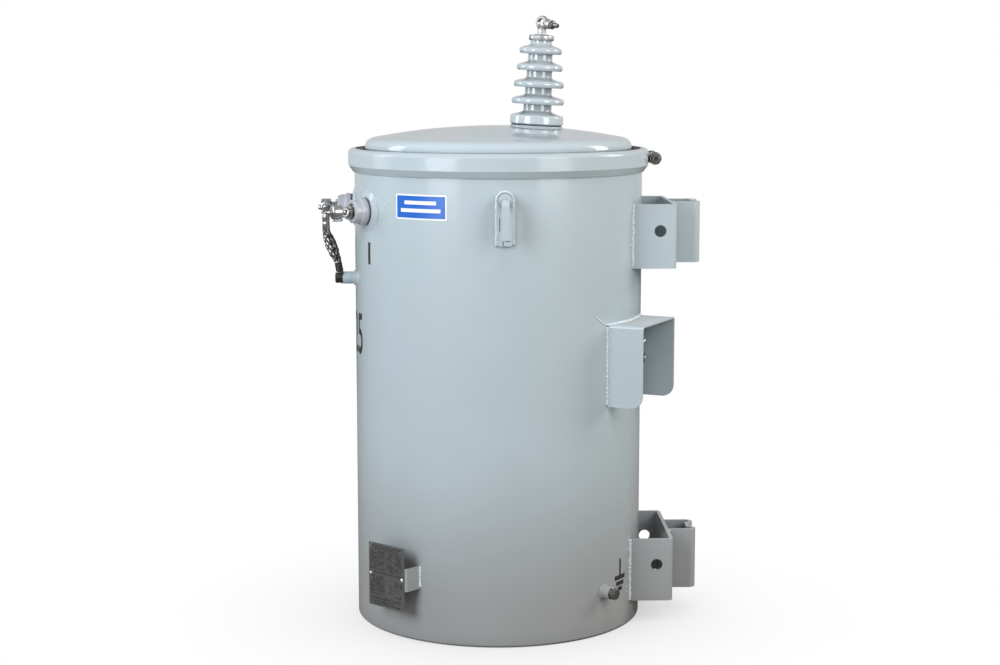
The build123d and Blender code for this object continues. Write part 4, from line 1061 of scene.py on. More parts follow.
class TRANSFORMER_OT_lifting_lugs(bpy.types.Operator):
    """Round the lifting hooks, weld their plates to the tank and lay painted shade strips in the plates' gaps
    """
    bl_idname = "transformer.lifting_lugs"
    bl_label = "Lifting lugs"

    def execute(self, context):
        edge = context.scene.transformer_hardware.edge
        rounded_copy("lifting_hooks", edge * 1.6, 3)
        rounded_copy("lifting_plates", edge * 1.2, 3)
        low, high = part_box("lifting_plates")
        half = LUG_HALF
        top_middle = high.z - half
        outline = [(-half, low.z + 0.002), (-half, top_middle)]
        for turn in (0.4, 0.8, 1.2, 1.57, 1.94, 2.34, 2.74):
            outline.append((-half * math.cos(turn), top_middle + half * math.sin(turn)))
        outline += [(half, top_middle), (half, low.z + 0.002)]
        face = Matrix.Translation((LUG_FACE, 0.0, 0.0)) @ ON_WALL
        for side, label in ((0.0, "near"), (180.0, "far")):
            stations = []
            for across, up in outline:
                rise = max(0.0, up - top_middle)
                lean = Vector((0.6, across / half, rise / half)).normalized()
                stations.append((Vector((wall(across) + 0.0006, across * 1.05, up)), lean))
            place = outward(LUG_ANGLE + side)
            weld("lifting_weld_" + label, moved(stations, place), 41, *LUG_BEAD)
            # Painted shade: dark strips on the plate round the hook's eye, beside its bar and under its foot,
            # where the gaps fall in shade.
            shadow_strips = [mark_ring("seam", 0.0122, 0.0011, (0.0, 0.7595))]
            for width, height, x, y in ((0.0012, 0.0230, -0.0085, 0.7190), (0.0090, 0.0022, 0.0040, 0.6920),
                                        (0.0014, 0.0080, -0.0030, 0.6880)):
                shadow_strips.append(mark_strip("seam", width, height, (x, y)))
            dark = placed(join(shadow_strips, "lifting_shadow_strips_" + label), place @ face)
            finish(dark, "Seam Grime")
        return {"FINISHED"}


# ---------------------------------------------------------------- band, line bushing and its terminal
BAND_BOLT_Y = 0.2747
BAND_BOLT_Z = 0.8170
GASKET_LEDGE = 0.8300
HEX_SHADE = 28.0
DOME_RADIUS = 1.19266
LINE_OFFSET = 0.0671
LINE_LEAN = math.asin(LINE_OFFSET / DOME_RADIUS)
LINE_SEAT = 0.87211
LINE_CAP = 0.1500
LINE_EYE = 0.1812
EYE_SWING = -38.0
CLAMP_TILT = 8.0


def line_place():
    """Matrix from the line bushing's own upright frame to its place on the dome."""
    return Matrix.Translation((0.0, LINE_OFFSET, LINE_SEAT)) @ Matrix.Rotation(-LINE_LEAN, 4, "X")


class TRANSFORMER_OT_cover_band(bpy.types.Operator):
    """Fit the band's draw bolt, round its barrels and fit the rubber lip under the band"""
    bl_idname = "transformer.cover_band"
    bl_label = "Cover band"

    def execute(self, context):
        pitch = context.scene.transformer_hardware.thread_pitch
        ledge = GASKET_LEDGE
        lip = ringed("gasket_lip", (
            (0.2380, ledge), (0.2385, ledge + 0.0036), (0.2400, ledge + 0.0046), (0.2490, ledge + 0.0046),
            (0.2505, ledge + 0.0036), (0.2510, ledge)), 160)
        smooth(lip, 50.0)
        finish(lip, "Gasket Rubber")
        rounded_copy("band_barrels", 0.0012)
        along = (1.0, 0.0, 0.0)
        centre = (0.0, BAND_BOLT_Y, BAND_BOLT_Z)
        shank = turned("bolt.shank", ((0.0052, -0.0350), (0.0058, -0.0340), (0.0058, 0.0340)), 24)
        thread = threaded("bolt.thread", 0.0060, 0.0300, 0.0478, pitch, 16)
        nut = hex_piece("bolt.nut", 0.0190, 0.0352, 0.0432)
        head = hex_piece("bolt.head", 0.0190, -0.0432, -0.0352)
        washers = []
        for low, high in ((0.0333, 0.0351), (-0.0351, -0.0333)):
            washers.append(ringed("bolt.washer", (
                (0.0062, low), (0.0108, low), (0.0112, low + 0.0004), (0.0112, high - 0.0004), (0.0108, high),
                (0.0062, high)), 32))
        spring = ringed(
            "bolt.spring", ((0.0063, 0.0330), (0.0100, 0.0330), (0.0100, 0.0334), (0.0063, 0.0334)), 32)
        bolt = join([shank, thread, nut, head, spring] + washers, "band_bolt_finished")
        stand(bolt, along, centre)
        smooth(bolt, HEX_SHADE)
        finish(bolt, "Dark Lug", ("band_bolt",))
        outer = ringed("rim", ((0.0084, 0.0430), (0.0088, 0.0438), (0.0096, 0.0438), (0.0099, 0.0430)), 48)
        inner = ringed("rim", ((0.0048, 0.0472), (0.0051, 0.0484), (0.0058, 0.0484), (0.0061, 0.0472)), 48)
        rims = join([outer, inner], "band_bolt_rims")
        smooth(stand(rims, along, centre), 50.0)
        finish(rims, "Bright Screw")
        return {"FINISHED"}


class TRANSFORMER_OT_line_bushing(bpy.types.Operator):
    """Fit the line bushing's cap, eye terminal and clamp screw"""
    bl_idname = "transformer.line_bushing"
    bl_label = "Line bushing"

    def execute(self, context):
        pitch = context.scene.transformer_hardware.thread_pitch
        place = line_place()
        swing = Matrix.Rotation(math.radians(EYE_SWING), 4, "Z")
        low = LINE_CAP
        cap = turned("hv_cap_finished", (
            (0.0205, low), (0.0215, low + 0.0004), (0.0220, low + 0.0012), (0.0220, low + 0.0074),
            (0.0217, low + 0.0084), (0.0208, low + 0.0092), (0.0196, low + 0.0095), (0.0130, low + 0.0097),
            (0.0124, low + 0.0108), (0.0094, low + 0.0110)), 96)
        smooth(cap, 38.0)
        finish(placed(cap, place), "Matt Tin", ("hv_cap",))

        top = LINE_CAP + 0.0095
        stud = turned("stud", (
            (0.0080, top), (0.0080, top + 0.0030), (0.0076, top + 0.0040), (0.0076, LINE_EYE - 0.0090),
            (0.0088, LINE_EYE - 0.0070), (0.0070, LINE_EYE - 0.0050)), 48)
        ring = ringed("ring", (
            (0.0064, -0.0020), (0.0069, -0.0035), (0.0080, -0.0044), (0.0106, -0.0044),
            (0.0118, -0.0034), (0.0123, -0.0016), (0.0123, 0.0016), (0.0118, 0.0034),
            (0.0106, 0.0044), (0.0080, 0.0044), (0.0069, 0.0035), (0.0064, 0.0020)), 72)
        stand(ring, (1.0, 0.0, 0.0), (0.0, 0.0, LINE_EYE))
        tilt = math.radians(CLAMP_TILT)
        axis = Vector((0.0, math.cos(tilt), -math.sin(tilt)))
        eye = Vector((0.0, 0.0, LINE_EYE))
        socket = turned("socket", (
            (0.0080, 0.0085), (0.0090, 0.0100), (0.0086, 0.0150), (0.0080, 0.0176), (0.0066, 0.0184)), 48)
        stand(socket, axis, eye)
        terminal = join([stud, ring, socket], "hv_terminal_finished")
        terminal.data.transform(swing)
        smooth(terminal, 38.0)
        finish(placed(terminal, place), "Matt Tin", ("hv_terminal",))

        screw = threaded("screw", 0.0044, 0.0150, 0.0345, pitch * 0.8, 16)
        point = turned("point", ((0.0020, 0.0024), (0.0032, 0.0036), (0.0040, 0.0050), (0.0040, 0.0160)), 24)
        nut = hex_piece("nut", 0.0136, 0.0188, 0.0252)
        clamp = join([screw, point, nut], "hv_clamp_bolt_finished")
        stand(clamp, axis, eye)
        smooth(clamp, HEX_SHADE)
        clamp.data.transform(swing)
        finish(placed(clamp, place), "Dulled Zinc", ("hv_clamp_bolt",))
        return {"FINISHED"}


# ---------------------------------------------------------------- side bushings and their terminals
SIDE_HEIGHT = 0.7314
SIDE_ANGLES = (153.5, 180.0, 206.5)
OUT = (1.0, 0.0, 0.0)
ACROSS = (0.0, 1.0, 0.0)
UP = (0.0, 0.0, 1.0)
CENTRE = (0.0, 0.0, 0.0)
CLAMP_EYE = (0.3000, 0.0, 0.0)
HUB_REACH = 0.3047


def lathe(name, stations, axis=OUT, place=CENTRE, segments=48):
    """Turned piece stood along an axis."""
    return stand(turned(name, stations, segments), axis, place)


def side_nuts(name):
    """Stud end with its nut in the bushing's recess and the lock nut outside it."""
    thread = threaded(name + ".thread", 0.0078, 0.2700, 0.2965, 0.0020, 20)
    nut = hex_piece(name + ".nut", 0.0205, 0.2740, 0.2832)
    lock = hex_piece(name + ".lock", 0.0186, 0.2836, 0.2900)
    washer = turned(name + ".washer", (
        (0.0118, 0.2732), (0.0122, 0.2735), (0.0122, 0.2740), (0.0116, 0.2743)), 32)
    return stand(join([thread, nut, lock, washer], name), OUT, CENTRE)


def outer_clamp(name):
    """Eye, clamping barrel with its screw, and the saddle bar under it."""
    eye = ringed(name + ".eye", (
        (0.0042, -0.0092), (0.0050, -0.0100), (0.0068, -0.0100), (0.0076, -0.0092), (0.0078, 0.0),
        (0.0076, 0.0092), (0.0068, 0.0100), (0.0050, 0.0100), (0.0042, 0.0092)), 48)
    stand(eye, ACROSS, CLAMP_EYE)
    plug = lathe(name + ".plug", (
        (0.0044, -0.0060), (0.0044, 0.0060), (0.0026, 0.0084), (0.0012, 0.0088)), ACROSS, CLAMP_EYE, 32)
    neck = lathe(name + ".neck", (
        (0.0080, 0.2912), (0.0086, 0.2918), (0.0086, 0.2940), (0.0070, 0.2956), (0.0066, 0.3040)))
    barrel = lathe(name + ".barrel", (
        (0.0080, 0.3022), (0.0104, 0.3028), (0.0119, 0.3044), (0.0121, 0.3060), (0.0121, 0.3096),
        (0.0116, 0.3100), (0.0116, 0.3108), (0.0121, 0.3112), (0.0121, 0.3178), (0.0117, 0.3192),
        (0.0100, 0.3206), (0.0060, 0.3210)))
    collar = lathe(name + ".collar", (
        (0.0042, 0.3200), (0.0042, 0.3236), (0.0036, 0.3246), (0.0036, 0.3268), (0.0032, 0.3272)),
        segments=32)
    tip = lathe(name + ".tip", (
        (0.0029, 0.3262), (0.0029, 0.3300), (0.0024, 0.3314), (0.0014, 0.3321), (0.0004, 0.3322)),
        segments=24)
    saddle = lathe(name + ".saddle", (
        (0.0014, 0.3005), (0.0022, 0.3010), (0.0024, 0.3018), (0.0024, 0.3166), (0.0021, 0.3176),
        (0.0012, 0.3181)), OUT, (0.0, 0.0, -0.0137), 24)
    strut = lathe(name + ".strut", ((0.0021, -0.0139), (0.0021, -0.0100)), UP, (0.3080, 0.0, 0.0), 20)
    made = join([eye, plug, neck, barrel, collar, tip, saddle, strut], name)
    smooth(made, 34.0)
    return made


def centre_clamp(name):
    """Cross hub with nuts at both sides, a bolt head on top and the strap's flange below."""
    x = HUB_REACH
    middle = (x, 0.0, 0.0)
    hub = lathe(name + ".hub", (
        (0.0080, -0.0105), (0.0092, -0.0098), (0.0095, -0.0088), (0.0095, 0.0088), (0.0092, 0.0098),
        (0.0080, 0.0105)), ACROSS, middle)
    neck = lathe(name + ".neck", (
        (0.0078, 0.2912), (0.0086, 0.2920), (0.0086, 0.2950), (0.0074, 0.2962), (0.0074, x)))
    parts = [hub, neck]
    for side in (1.0, -1.0):
        aside = (0.0, side, 0.0)
        parts.append(stand(hex_piece(name + ".nut", 0.0172, 0.0106, 0.0162), aside, middle))
        parts.append(lathe(name + ".end", (
            (0.0044, 0.0150), (0.0044, 0.0176), (0.0038, 0.0186), (0.0022, 0.0190), (0.0006, 0.0191)),
            aside, middle, 24))
    cap_washer = lathe(name + ".cap_washer", (
        (0.0100, 0.0070), (0.0104, 0.0074), (0.0104, 0.0082), (0.0100, 0.0086)), UP, middle, 32)
    head = stand(hex_piece(name + ".head", 0.0172, 0.0084, 0.0136), UP, middle)
    flange = lathe(name + ".flange", (
        (0.0086, -0.0122), (0.0098, -0.0116), (0.0098, -0.0102), (0.0090, -0.0094), (0.0060, -0.0086)),
        UP, middle, 40)
    tip = lathe(name + ".tip", (
        (0.0044, x), (0.0044, 0.3164), (0.0040, 0.3180), (0.0026, 0.3190), (0.0006, 0.3192)),
        OUT, (0.0, 0.0, -0.0014), 24)
    made = join(parts + [cap_washer, head, flange, tip], name)
    smooth(made, 30.0)
    return made


def side_pad(name):
    """Raised flat seat that flows into the tank's wall round it."""
    flat = TANK_RADIUS + 0.0035
    back = TANK_RADIUS - 0.002
    radii = [0.0190, 0.0235] + [0.0250 + 0.001 * step for step in range(15)]
    outline = [(radius, 0.0) for radius in radii] + [(radii[-1], -1.0), (radii[0], -1.0)]
    pad = ringed(name, outline, 96)
    for vertex in pad.data.vertices:
        across, up, level = vertex.co
        reach = math.hypot(across, up)
        share = min(1.0, max(0.0, (reach - 0.0250) / 0.0135))
        share = share * share * (3.0 - 2.0 * share)
        curve = wall(across) - 0.0003
        vertex.co = (back if level < -0.5 else flat + (curve - flat) * share, across, up)
    pick(pad)
    edit()
    closed()
    return pad


def side_body(name):
    """Moulded bushing: collar on its gasket, barrel and the recess for the nut."""
    return lathe(name, (
        (0.0090, 0.2240), (0.0160, 0.2245), (0.0175, 0.2260), (0.0175, 0.2590), (0.0226, 0.2600),
        (0.0233, 0.2604), (0.0236, 0.2612), (0.0236, 0.2686), (0.0232, 0.2696), (0.0222, 0.2702),
        (0.0212, 0.2708), (0.0205, 0.2718), (0.0203, 0.2735), (0.0202, 0.2815), (0.0199, 0.2830),
        (0.0192, 0.2838), (0.0182, 0.2841), (0.0146, 0.2841), (0.0138, 0.2838), (0.0134, 0.2830),
        (0.0130, 0.2742), (0.0090, 0.2738)), segments=96)


class TRANSFORMER_OT_side_bushings(bpy.types.Operator):
    """Fit the side bushings' bodies, pads, nuts and clamps, and the weld spatter beside the near one"""
    bl_idname = "transformer.side_bushings"
    bl_label = "Side bushings"

    def execute(self, context):
        near, middle, far = SIDE_ANGLES
        for name, single, angles, shade, material, slot in (
                ("lv_studs", side_nuts("nuts"), SIDE_ANGLES, HEX_SHADE, "Dulled Tin", "bronze_metal"),
                ("lv_pads", side_pad("pad"), SIDE_ANGLES, 60.0, "Tank Enamel", "tank_paint"),
                ("lv_bushings", side_body("body"), SIDE_ANGLES, 40.0, "Cast Resin", "grey_epoxy"),
                ("outer_clamps", outer_clamp("clamp"), (near, far), None, "Tinned Bronze", "tinned_metal")):
            copies = [copied(single, name + "_copy", outward(angle, SIDE_HEIGHT)) for angle in angles]
            remove(single)
            made = join(copies, name + "_finished")
            if shade:
                smooth(made, shade)
            finish(made, material, (name,))
        chance = random.Random(81)
        drops = []
        for _ in range(16):
            across = chance.uniform(0.040, 0.080)
            drop = Vector((wall(across), across, chance.uniform(-0.026, 0.030)))
            drops.append(outward(near, SIDE_HEIGHT) @ drop)
        spatter("terminal_spatter", drops, TERMINAL_GRAIN, 82)
        centre = placed(centre_clamp("centre_clamp_finished"), outward(middle, SIDE_HEIGHT))
        finish(centre, "Tinned Bronze", ("centre_clamp",))
        return {"FINISHED"}


# ---------------------------------------------------------------- bonding strap and ground pads
STRAP_LOW = 0.6326
STRAP_HIGH = 0.6976
STRAP_TOP = 0.3057
STRAP_FOOT = 0.2828
CARRIERS = 7
WIRE_RADIUS = 0.00040
WIRE_SPACING = 0.00078
HEART_RADIUS = 0.00115
SLEEVE_TWIST = 4.4
HEART_TWIST = 3.2
# Distance out, width and depth of the woven strap, by the share of its height.
STRAP_LINE = ((0.0, 0.28485), (0.20, 0.2911), (0.435, 0.2963), (0.675, 0.3013), (0.81, 0.3051),
              (1.0, STRAP_TOP))
STRAP_WIDTH = ((0.0, 0.0118), (0.20, 0.0182), (0.435, 0.0216), (0.675, 0.0188), (0.81, 0.0128), (1.0, 0.0118))
STRAP_DEPTH = ((0.0, 0.0104), (0.20, 0.0128), (0.435, 0.0130), (0.675, 0.0128), (0.81, 0.0112), (1.0, 0.0112))
# Each ground pad's angle and height, and where its bolt's washer seats: the front one on the strap's lug.
FRONT_PAD = (180.0, 0.6047, 0.2765 + 0.003)
REAR_PAD = (45.5, 0.077, 0.2720)


def read_along(table, share):
    """Read a (share, value) table by straight steps."""
    share = min(1.0, max(0.0, share))
    for (start, first), (end, last) in zip(table, table[1:]):
        if share <= end:
            return first + (last - first) * (share - start) / (end - start)
    return table[-1][1]


def read_smooth(table, share):
    """Read a table as the mean of five readings close together, which rounds its corners."""
    return sum(read_along(table, share + step) for step in (-0.06, -0.03, 0.0, 0.03, 0.06)) / 5.0


def straight_wire(name, radius, steps, sides=5):
    """Round wire along Z, one unit long, cut into steps so that it can be laid."""
    deselect()
    bpy.ops.mesh.primitive_circle_add(vertices=sides, radius=radius, fill_type="NGON")
    wire_piece = named(active(), name)
    edit()
    for _ in range(steps):
        draw_up(1.0 / steps)
    closed()
    return wire_piece


def laid(piece, start_turn, twist, fullness, lean, weave=0.0, waves=6.0, phase=0.0):
    """Lay a straight wire round the strap's oval section, from its lower to its upper end."""
    def middle(share):
        return Vector((read_smooth(STRAP_LINE, share), 0.0, STRAP_LOW + share * (STRAP_HIGH - STRAP_LOW)))

    for vertex in piece.data.vertices:
        x, y, share = vertex.co
        wide = read_smooth(STRAP_WIDTH, share) * 0.5
        deep = read_smooth(STRAP_DEPTH, share) * 0.5
        turn = start_turn + twist * share
        centre = middle(share) + Vector((lean * wide, 0.0, 0.0))
        reach = (wide * fullness[0], deep * fullness[1])
        out = Vector((math.cos(turn) / reach[0], math.sin(turn) / reach[1], 0.0)).normalized()
        ahead = middle(min(1.0, share + 0.01)) - middle(max(0.0, share - 0.01))
        wound = twist * 0.02
        along = Vector((ahead.x - reach[0] * math.sin(turn) * wound, reach[1] * math.cos(turn) * wound,
                        (STRAP_HIGH - STRAP_LOW) * 0.02)).normalized()
        side = out.cross(along).normalized()
        lift = weave * math.sin(math.pi * waves * share + phase)
        place = centre + Vector((reach[0] * math.cos(turn), reach[1] * math.sin(turn), 0.0))
        vertex.co = place + side * x + out * (y + lift)
    piece.data.update()
    return piece


def braid(name):
    """Open sleeve of flat carriers woven both ways round a closely laid heart."""
    wires = []
    single = straight_wire(name + ".wire", WIRE_RADIUS, 36)
    for way, shift in ((1.0, 0.0), (-1.0, math.pi)):
        for carrier in range(CARRIERS):
            start = math.tau * carrier / CARRIERS
            phase = math.pi * carrier + shift
            for beside in (-1.0, 0.0, 1.0):
                apart = Matrix.Translation((beside * WIRE_SPACING, 0.0, 0.0))
                strand = copied(single, name + ".laid", apart)
                wires.append(laid(strand, start, way * SLEEVE_TWIST, (1.0, 0.95), 0.0, 0.0004, 13.0, phase))
    remove(single)
    heart = straight_wire(name + ".heart", HEART_RADIUS, 30)
    for strands, fullness, lean in ((11, (0.46, 0.66), -0.42), (4, (0.15, 0.25), -0.46)):
        for count in range(strands):
            start = math.tau * count / float(strands)
            wires.append(laid(copied(heart, name + ".laid"), start, HEART_TWIST, fullness, lean))
    remove(heart)
    made = join(wires, name)
    pick(made)
    edit()
    closed()
    smooth(made, 70.0)
    return made


def pad_bolt(name, angle, height, seat):
    """Hexagon bolt with a plain and a split washer, on a ground pad."""
    washer = lathe(name + ".washer", (
        (0.0098, seat), (0.0104, seat + 0.0003), (0.0104, seat + 0.0014), (0.0100, seat + 0.0017)),
        segments=40)
    split = lathe(name + ".split", (
        (0.0086, seat + 0.0016), (0.0092, seat + 0.0019), (0.0092, seat + 0.0032), (0.0088, seat + 0.0035)),
        segments=32)
    head = stand(hex_piece(name + ".head", 0.0180, seat + 0.0033, seat + 0.0104), OUT, CENTRE)
    face = lathe(name + ".face", (
        (0.0078, seat + 0.0100), (0.0076, seat + 0.0106), (0.0060, seat + 0.0108)), segments=32)
    shank = lathe(name + ".shank", ((0.0058, seat - 0.0120), (0.0058, seat + 0.0020)), segments=20)
    bolt = join([washer, split, head, face, shank], name)
    smooth(bolt, HEX_SHADE)
    return placed(bolt, outward(angle, height))


class TRANSFORMER_OT_bonding(bpy.types.Operator):
    """Weave the bonding strap, and fit its lugs and both ground pads' bolts"""
    bl_idname = "transformer.bonding"
    bl_label = "Bonding strap and ground pads"

    def execute(self, context):
        front = outward(180.0)
        sleeve = placed(braid("ground_braid_finished"), front)
        finish(sleeve, "Tinned Braid", ("ground_braid",))

        low = STRAP_HIGH
        barrel = lathe("strap_upper_lug_finished", (
            (0.0052, low - 0.0125), (0.0056, low - 0.0120), (0.0056, low - 0.0010), (0.0062, low),
            (0.0066, low + 0.0008), (0.0066, low + 0.0050), (0.0062, low + 0.0058), (0.0062, low + 0.0078),
            (0.0066, low + 0.0086), (0.0066, low + 0.0206), (0.0063, low + 0.0213), (0.0050, low + 0.0216)),
            UP, (STRAP_TOP, 0.0, 0.0))
        smooth(barrel, 40.0)
        finish(placed(barrel, front), "Tinned Bronze", ("strap_upper_lug",))

        lug = merged_copy("strap_lower_lug", "strap_lower_lug_finished")
        soften(lug, 0.0006, 2, 30.0)
        finish(lug, "Dark Lug", ("strap_lower_lug",))
        neck = lathe("strap_lower_neck", (
            (0.0036, 0.6146), (0.0042, 0.6150), (0.0048, 0.6166), (0.0054, 0.6182), (0.0050, 0.6196)),
            UP, (STRAP_FOOT, 0.0, 0.0), 40)
        smooth(neck, 60.0)
        finish(placed(neck, front), "Dark Lug")

        for pad, (angle, height, seat), metal in (("front", FRONT_PAD, "Dark Lug"),
                                                  ("rear", REAR_PAD, "Dulled Zinc")):
            bolt = pad_bolt(pad + "_ground_bolt_finished", angle, height, seat)
            finish(bolt, metal, (pad + "_ground_bolt",))
        for name, (angle, height, _) in (("front_ground_boss", FRONT_PAD), ("rear_ground_boss", REAR_PAD)):
            twin = merged_copy(name, name + "_finished")
            soften(twin, 0.0008, 2, 30.0)
            finish(twin, "Tank Enamel", (name,))
            deselect()
            bpy.ops.mesh.primitive_torus_add(
                major_radius=0.0118, minor_radius=0.0020, major_segments=56, minor_segments=10)
            ring = named(active(), name + "_weld")
            edit()
            bpy.ops.transform.resize(value=(1.0, 1.0, 1.3))
            done()
            wrapped(ring, TANK_RADIUS + 0.0006)
            smooth(ring, 60.0)
            finish(placed(ring, outward(angle, height)), "Tank Enamel")
        return {"FINISHED"}


# ---------------------------------------------------------------- nameplate
PLATE_ANGLE = 133.7
PLATE_FACE = 0.2850
PLATE_LOW = 0.0574
PLATE_HIGH = 0.1681
PLATE_MIDDLE = (PLATE_LOW + PLATE_HIGH) / 2.0
INK_PROUD = 0.00006
RULE = 0.0005
DASH_HEIGHT = 0.0019
SCREW_SPACING = 0.0760
PLATE_LEG = 0.0455


def flat_sheet(name, width, height):
    """A flat rectangle across X and up Y, left in edit mode."""
    deselect()
    bpy.ops.mesh.primitive_plane_add(size=1.0)
    sheet = named(active(), name)
    edit()
    bpy.ops.transform.resize(value=(width, height, 1.0))
    return sheet


def mark_strip(name, width, height, place=(0.0, 0.0)):
    """One flat mark, drawn across X and up Y, as thin as its film."""
    strip = flat_sheet(name, width, height)
    draw_up(INK_PROUD)
    bpy.ops.transform.resize(value=(0.98, 0.92, 1.0), center_override=(0.0, 0.0, 0.0))
    closed()
    return placed(strip, Matrix.Translation((*place, 0.0)))


def mark_ring(name, radius, line, place):
    inner = radius - line
    ring = ringed(name, ((inner, 0.0), (inner, INK_PROUD), (radius, INK_PROUD), (radius, 0.0)), 28)
    return placed(ring, Matrix.Translation((*place, 0.0)))


def slotted_screw(turn):
    """Round screw head on its shank along Z, with its slot turned by an angle."""
    head = turned("screw", (
        (0.0018, -0.0060), (0.0018, 0.0001), (0.0036, 0.0001), (0.0037, 0.0005), (0.0034, 0.0014),
        (0.0026, 0.0021), (0.0014, 0.0025), (0.0004, 0.0026)), 32)
    level = 0.0027
    deselect()
    bpy.ops.mesh.primitive_cube_add(size=1.0, location=(0.0, 0.0, level))
    slot = named(active(), "slot")
    edit()
    bpy.ops.transform.resize(value=(0.0010, 0.0100, 0.0026), center_override=(0.0, 0.0, level))
    bpy.ops.transform.rotate(value=math.radians(turn), orient_axis="Z", center_override=CENTRE)
    done()
    apply_place(slot)
    apply_modifier(head, "BOOLEAN", operation="DIFFERENCE", solver="EXACT", object=slot)
    remove(slot)
    return head


def plate_rows(chance):
    """Places and lengths of the plate's short etched dashes: a heading, a table, two blocks and a foot."""
    rows = []

    def fill(left, right, top, count, pitch, longest, gap, share=1.0):
        for row in range(count):
            x = left
            while x < right:
                length = chance.uniform(0.35, 1.0) * longest
                length = min(length, right - x)
                if length > 0.0006 and chance.random() < share:
                    rows.append((x + length / 2.0, top - row * pitch, length))
                x += length + gap

    fill(-0.034, 0.034, 0.0500, 1, 0.003, 0.0110, 0.0016)
    fill(-0.028, 0.028, 0.0462, 1, 0.003, 0.0060, 0.0012)
    for column in (-0.0385, -0.0195, 0.0010, 0.0200):
        fill(column, column + 0.0160, 0.0405, 10, 0.0034, 0.0052, 0.0010, 0.86)
    fill(-0.030, 0.034, 0.0040, 1, 0.003, 0.0075, 0.0014)
    fill(-0.0385, -0.0060, -0.0020, 11, 0.0032, 0.0058, 0.0010, 0.84)
    fill(0.0190, 0.0385, -0.0080, 3, 0.0034, 0.0045, 0.0010, 0.75)
    fill(0.0210, 0.0370, -0.0300, 2, 0.0034, 0.0040, 0.0010, 0.75)
    fill(-0.036, 0.036, -0.0415, 1, 0.003, 0.0080, 0.0014)
    fill(-0.034, 0.020, -0.0470, 1, 0.003, 0.0090, 0.0016)
    fill(-0.030, 0.034, -0.0508, 1, 0.003, 0.0060, 0.0012)
    return rows


class TRANSFORMER_OT_nameplate(bpy.types.Operator):
    """Etch the nameplate with plain dashes and ruled lines, and fit its slotted screws"""
    bl_idname = "transformer.nameplate"
    bl_label = "Nameplate"

    def execute(self, context):
        chance = random.Random(7)
        place = outward(PLATE_ANGLE, PLATE_MIDDLE)
        face = Matrix.Translation((PLATE_FACE - 0.00001, 0.0, 0.0)) @ ON_WALL
        dash = mark_strip("dash", 1.0, DASH_HEIGHT)
        marks = []
        for x, y, length in plate_rows(chance):
            scale = Matrix.Diagonal((length, chance.uniform(0.85, 1.1), 1.0, 1.0))
            marks.append(copied(dash, "plate_mark", Matrix.Translation((x, y, 0.0)) @ scale))
        remove(dash)
        rules = [(0.0790, RULE, 0.0, y) for y in (0.0434, 0.0066, 0.0014, -0.0388, -0.0442)]
        rules += [(RULE, 0.0360, x, 0.0250) for x in (-0.0212, -0.0003, 0.0190)]
        rules += [(RULE, 0.0390, -0.0035, -0.0190), (0.0150, RULE, 0.0160, -0.0215),
                  (RULE, 0.0110, 0.0098, -0.0215)]
        for width, height, x, y in rules:
            marks.append(mark_strip("plate_rule", width, height, (x, y)))
        for x, y in ((0.0070, -0.0150), (0.0125, -0.0150), (0.0070, -0.0280), (0.0125, -0.0280),
                     (0.0260, -0.0215)):
            marks.append(mark_ring("plate_ring", 0.0022, RULE, (x, y)))
        etched = placed(join(marks, "nameplate_marks"), place @ face)
        finish(etched, "Etched Lines")

        line = mark_strip("corner_line", 0.0014, 0.0150)
        slant = Matrix.Rotation(math.radians(-38.0), 4, "Z")
        placed(line, Matrix.Translation((-0.0380, 0.0508, 0.00004)) @ slant)
        finish(placed(line, place @ face), "Corner Line")

        plate = merged_copy("nameplate", "nameplate_finished")
        soften(plate, 0.0003, 2, 40.0)
        finish(plate, "Plate Alloy", ("nameplate",))
        screws = []
        for side, turn in ((-0.5, 71.0), (0.5, 32.0)):
            screws.append(stand(slotted_screw(turn), OUT, (PLATE_FACE, side * SCREW_SPACING, 0.0)))
        screw_pair = join(screws, "nameplate_screws_finished")
        smooth(screw_pair, 34.0)
        finish(placed(screw_pair, place), "Bright Screw", ("nameplate_screws",))
        rounded_copy("nameplate_bracket", 0.0006)
        for side, label in ((1.0, "right"), (-1.0, "left")):
            across = side * PLATE_LEG
            seam = upright(wall(across), across + side * 0.0006, -0.017, 0.017, (0.6, side, 0.0))
            weld("nameplate_weld_" + label, moved(seam, place), 51, 0.0055, 0.0018)
        return {"FINISHED"}


# ---------------------------------------------------------------- stencils and labels
RATING_PLACE = (167.5, 0.514)
NUMBER_HEIGHT = 0.659
NUMBER_ANGLE = 152.2
LABEL_ANGLE = 122.5
LABEL_HEIGHT = 0.7450
EARTH_PLACE = (34.6, 0.0960)
FILM = 0.00008


def stencil(name, text, height, condense=0.80, stroke=0.0):
    """Flat figures, made a mesh, drawn across X and up Y about their middle."""
    deselect()
    bpy.ops.object.text_add(location=(0.0, 0.0, 0.0))
    words = active()
    words.data.body = text
    words.data.align_x = "CENTER"
    words.data.align_y = "CENTER"
    words.data.size = height * 1.38
    words.data.offset = stroke
    words.data.extrude = 0.00004
    words.data.resolution_u = 6
    pick(words)
    bpy.ops.object.convert(target="MESH")
    figures = named(active(), name)
    low = min(vertex.co.y for vertex in figures.data.vertices)
    high = max(vertex.co.y for vertex in figures.data.vertices)
    middle = (low + high) / 2.0
    share = height / (high - low)
    scale = Matrix.Diagonal((share * condense, share, 1.0, 1.0))
    return placed(figures, scale @ Matrix.Translation((0.0, -middle, 0.0)))


def stuck(piece, angle, height, cuts=12):
    """Cut a flat marking into strips and bend it onto the tank's wall."""
    xs = [vertex.co.x for vertex in piece.data.vertices]
    sliced(piece, min(xs), max(xs), cuts)
    return placed(wrapped(raised(piece, FILM), TANK_RADIUS), outward(angle, height))


def rounded_panel(name, width, height, corner, proud):
    """Thin film panel with rounded corners."""
    panel = flat_sheet(name, width, height)
    bpy.ops.mesh.bevel(offset=corner, segments=4, affect="VERTICES")
    bpy.ops.mesh.select_all(action="SELECT")
    draw_up(proud)
    closed()
    return panel


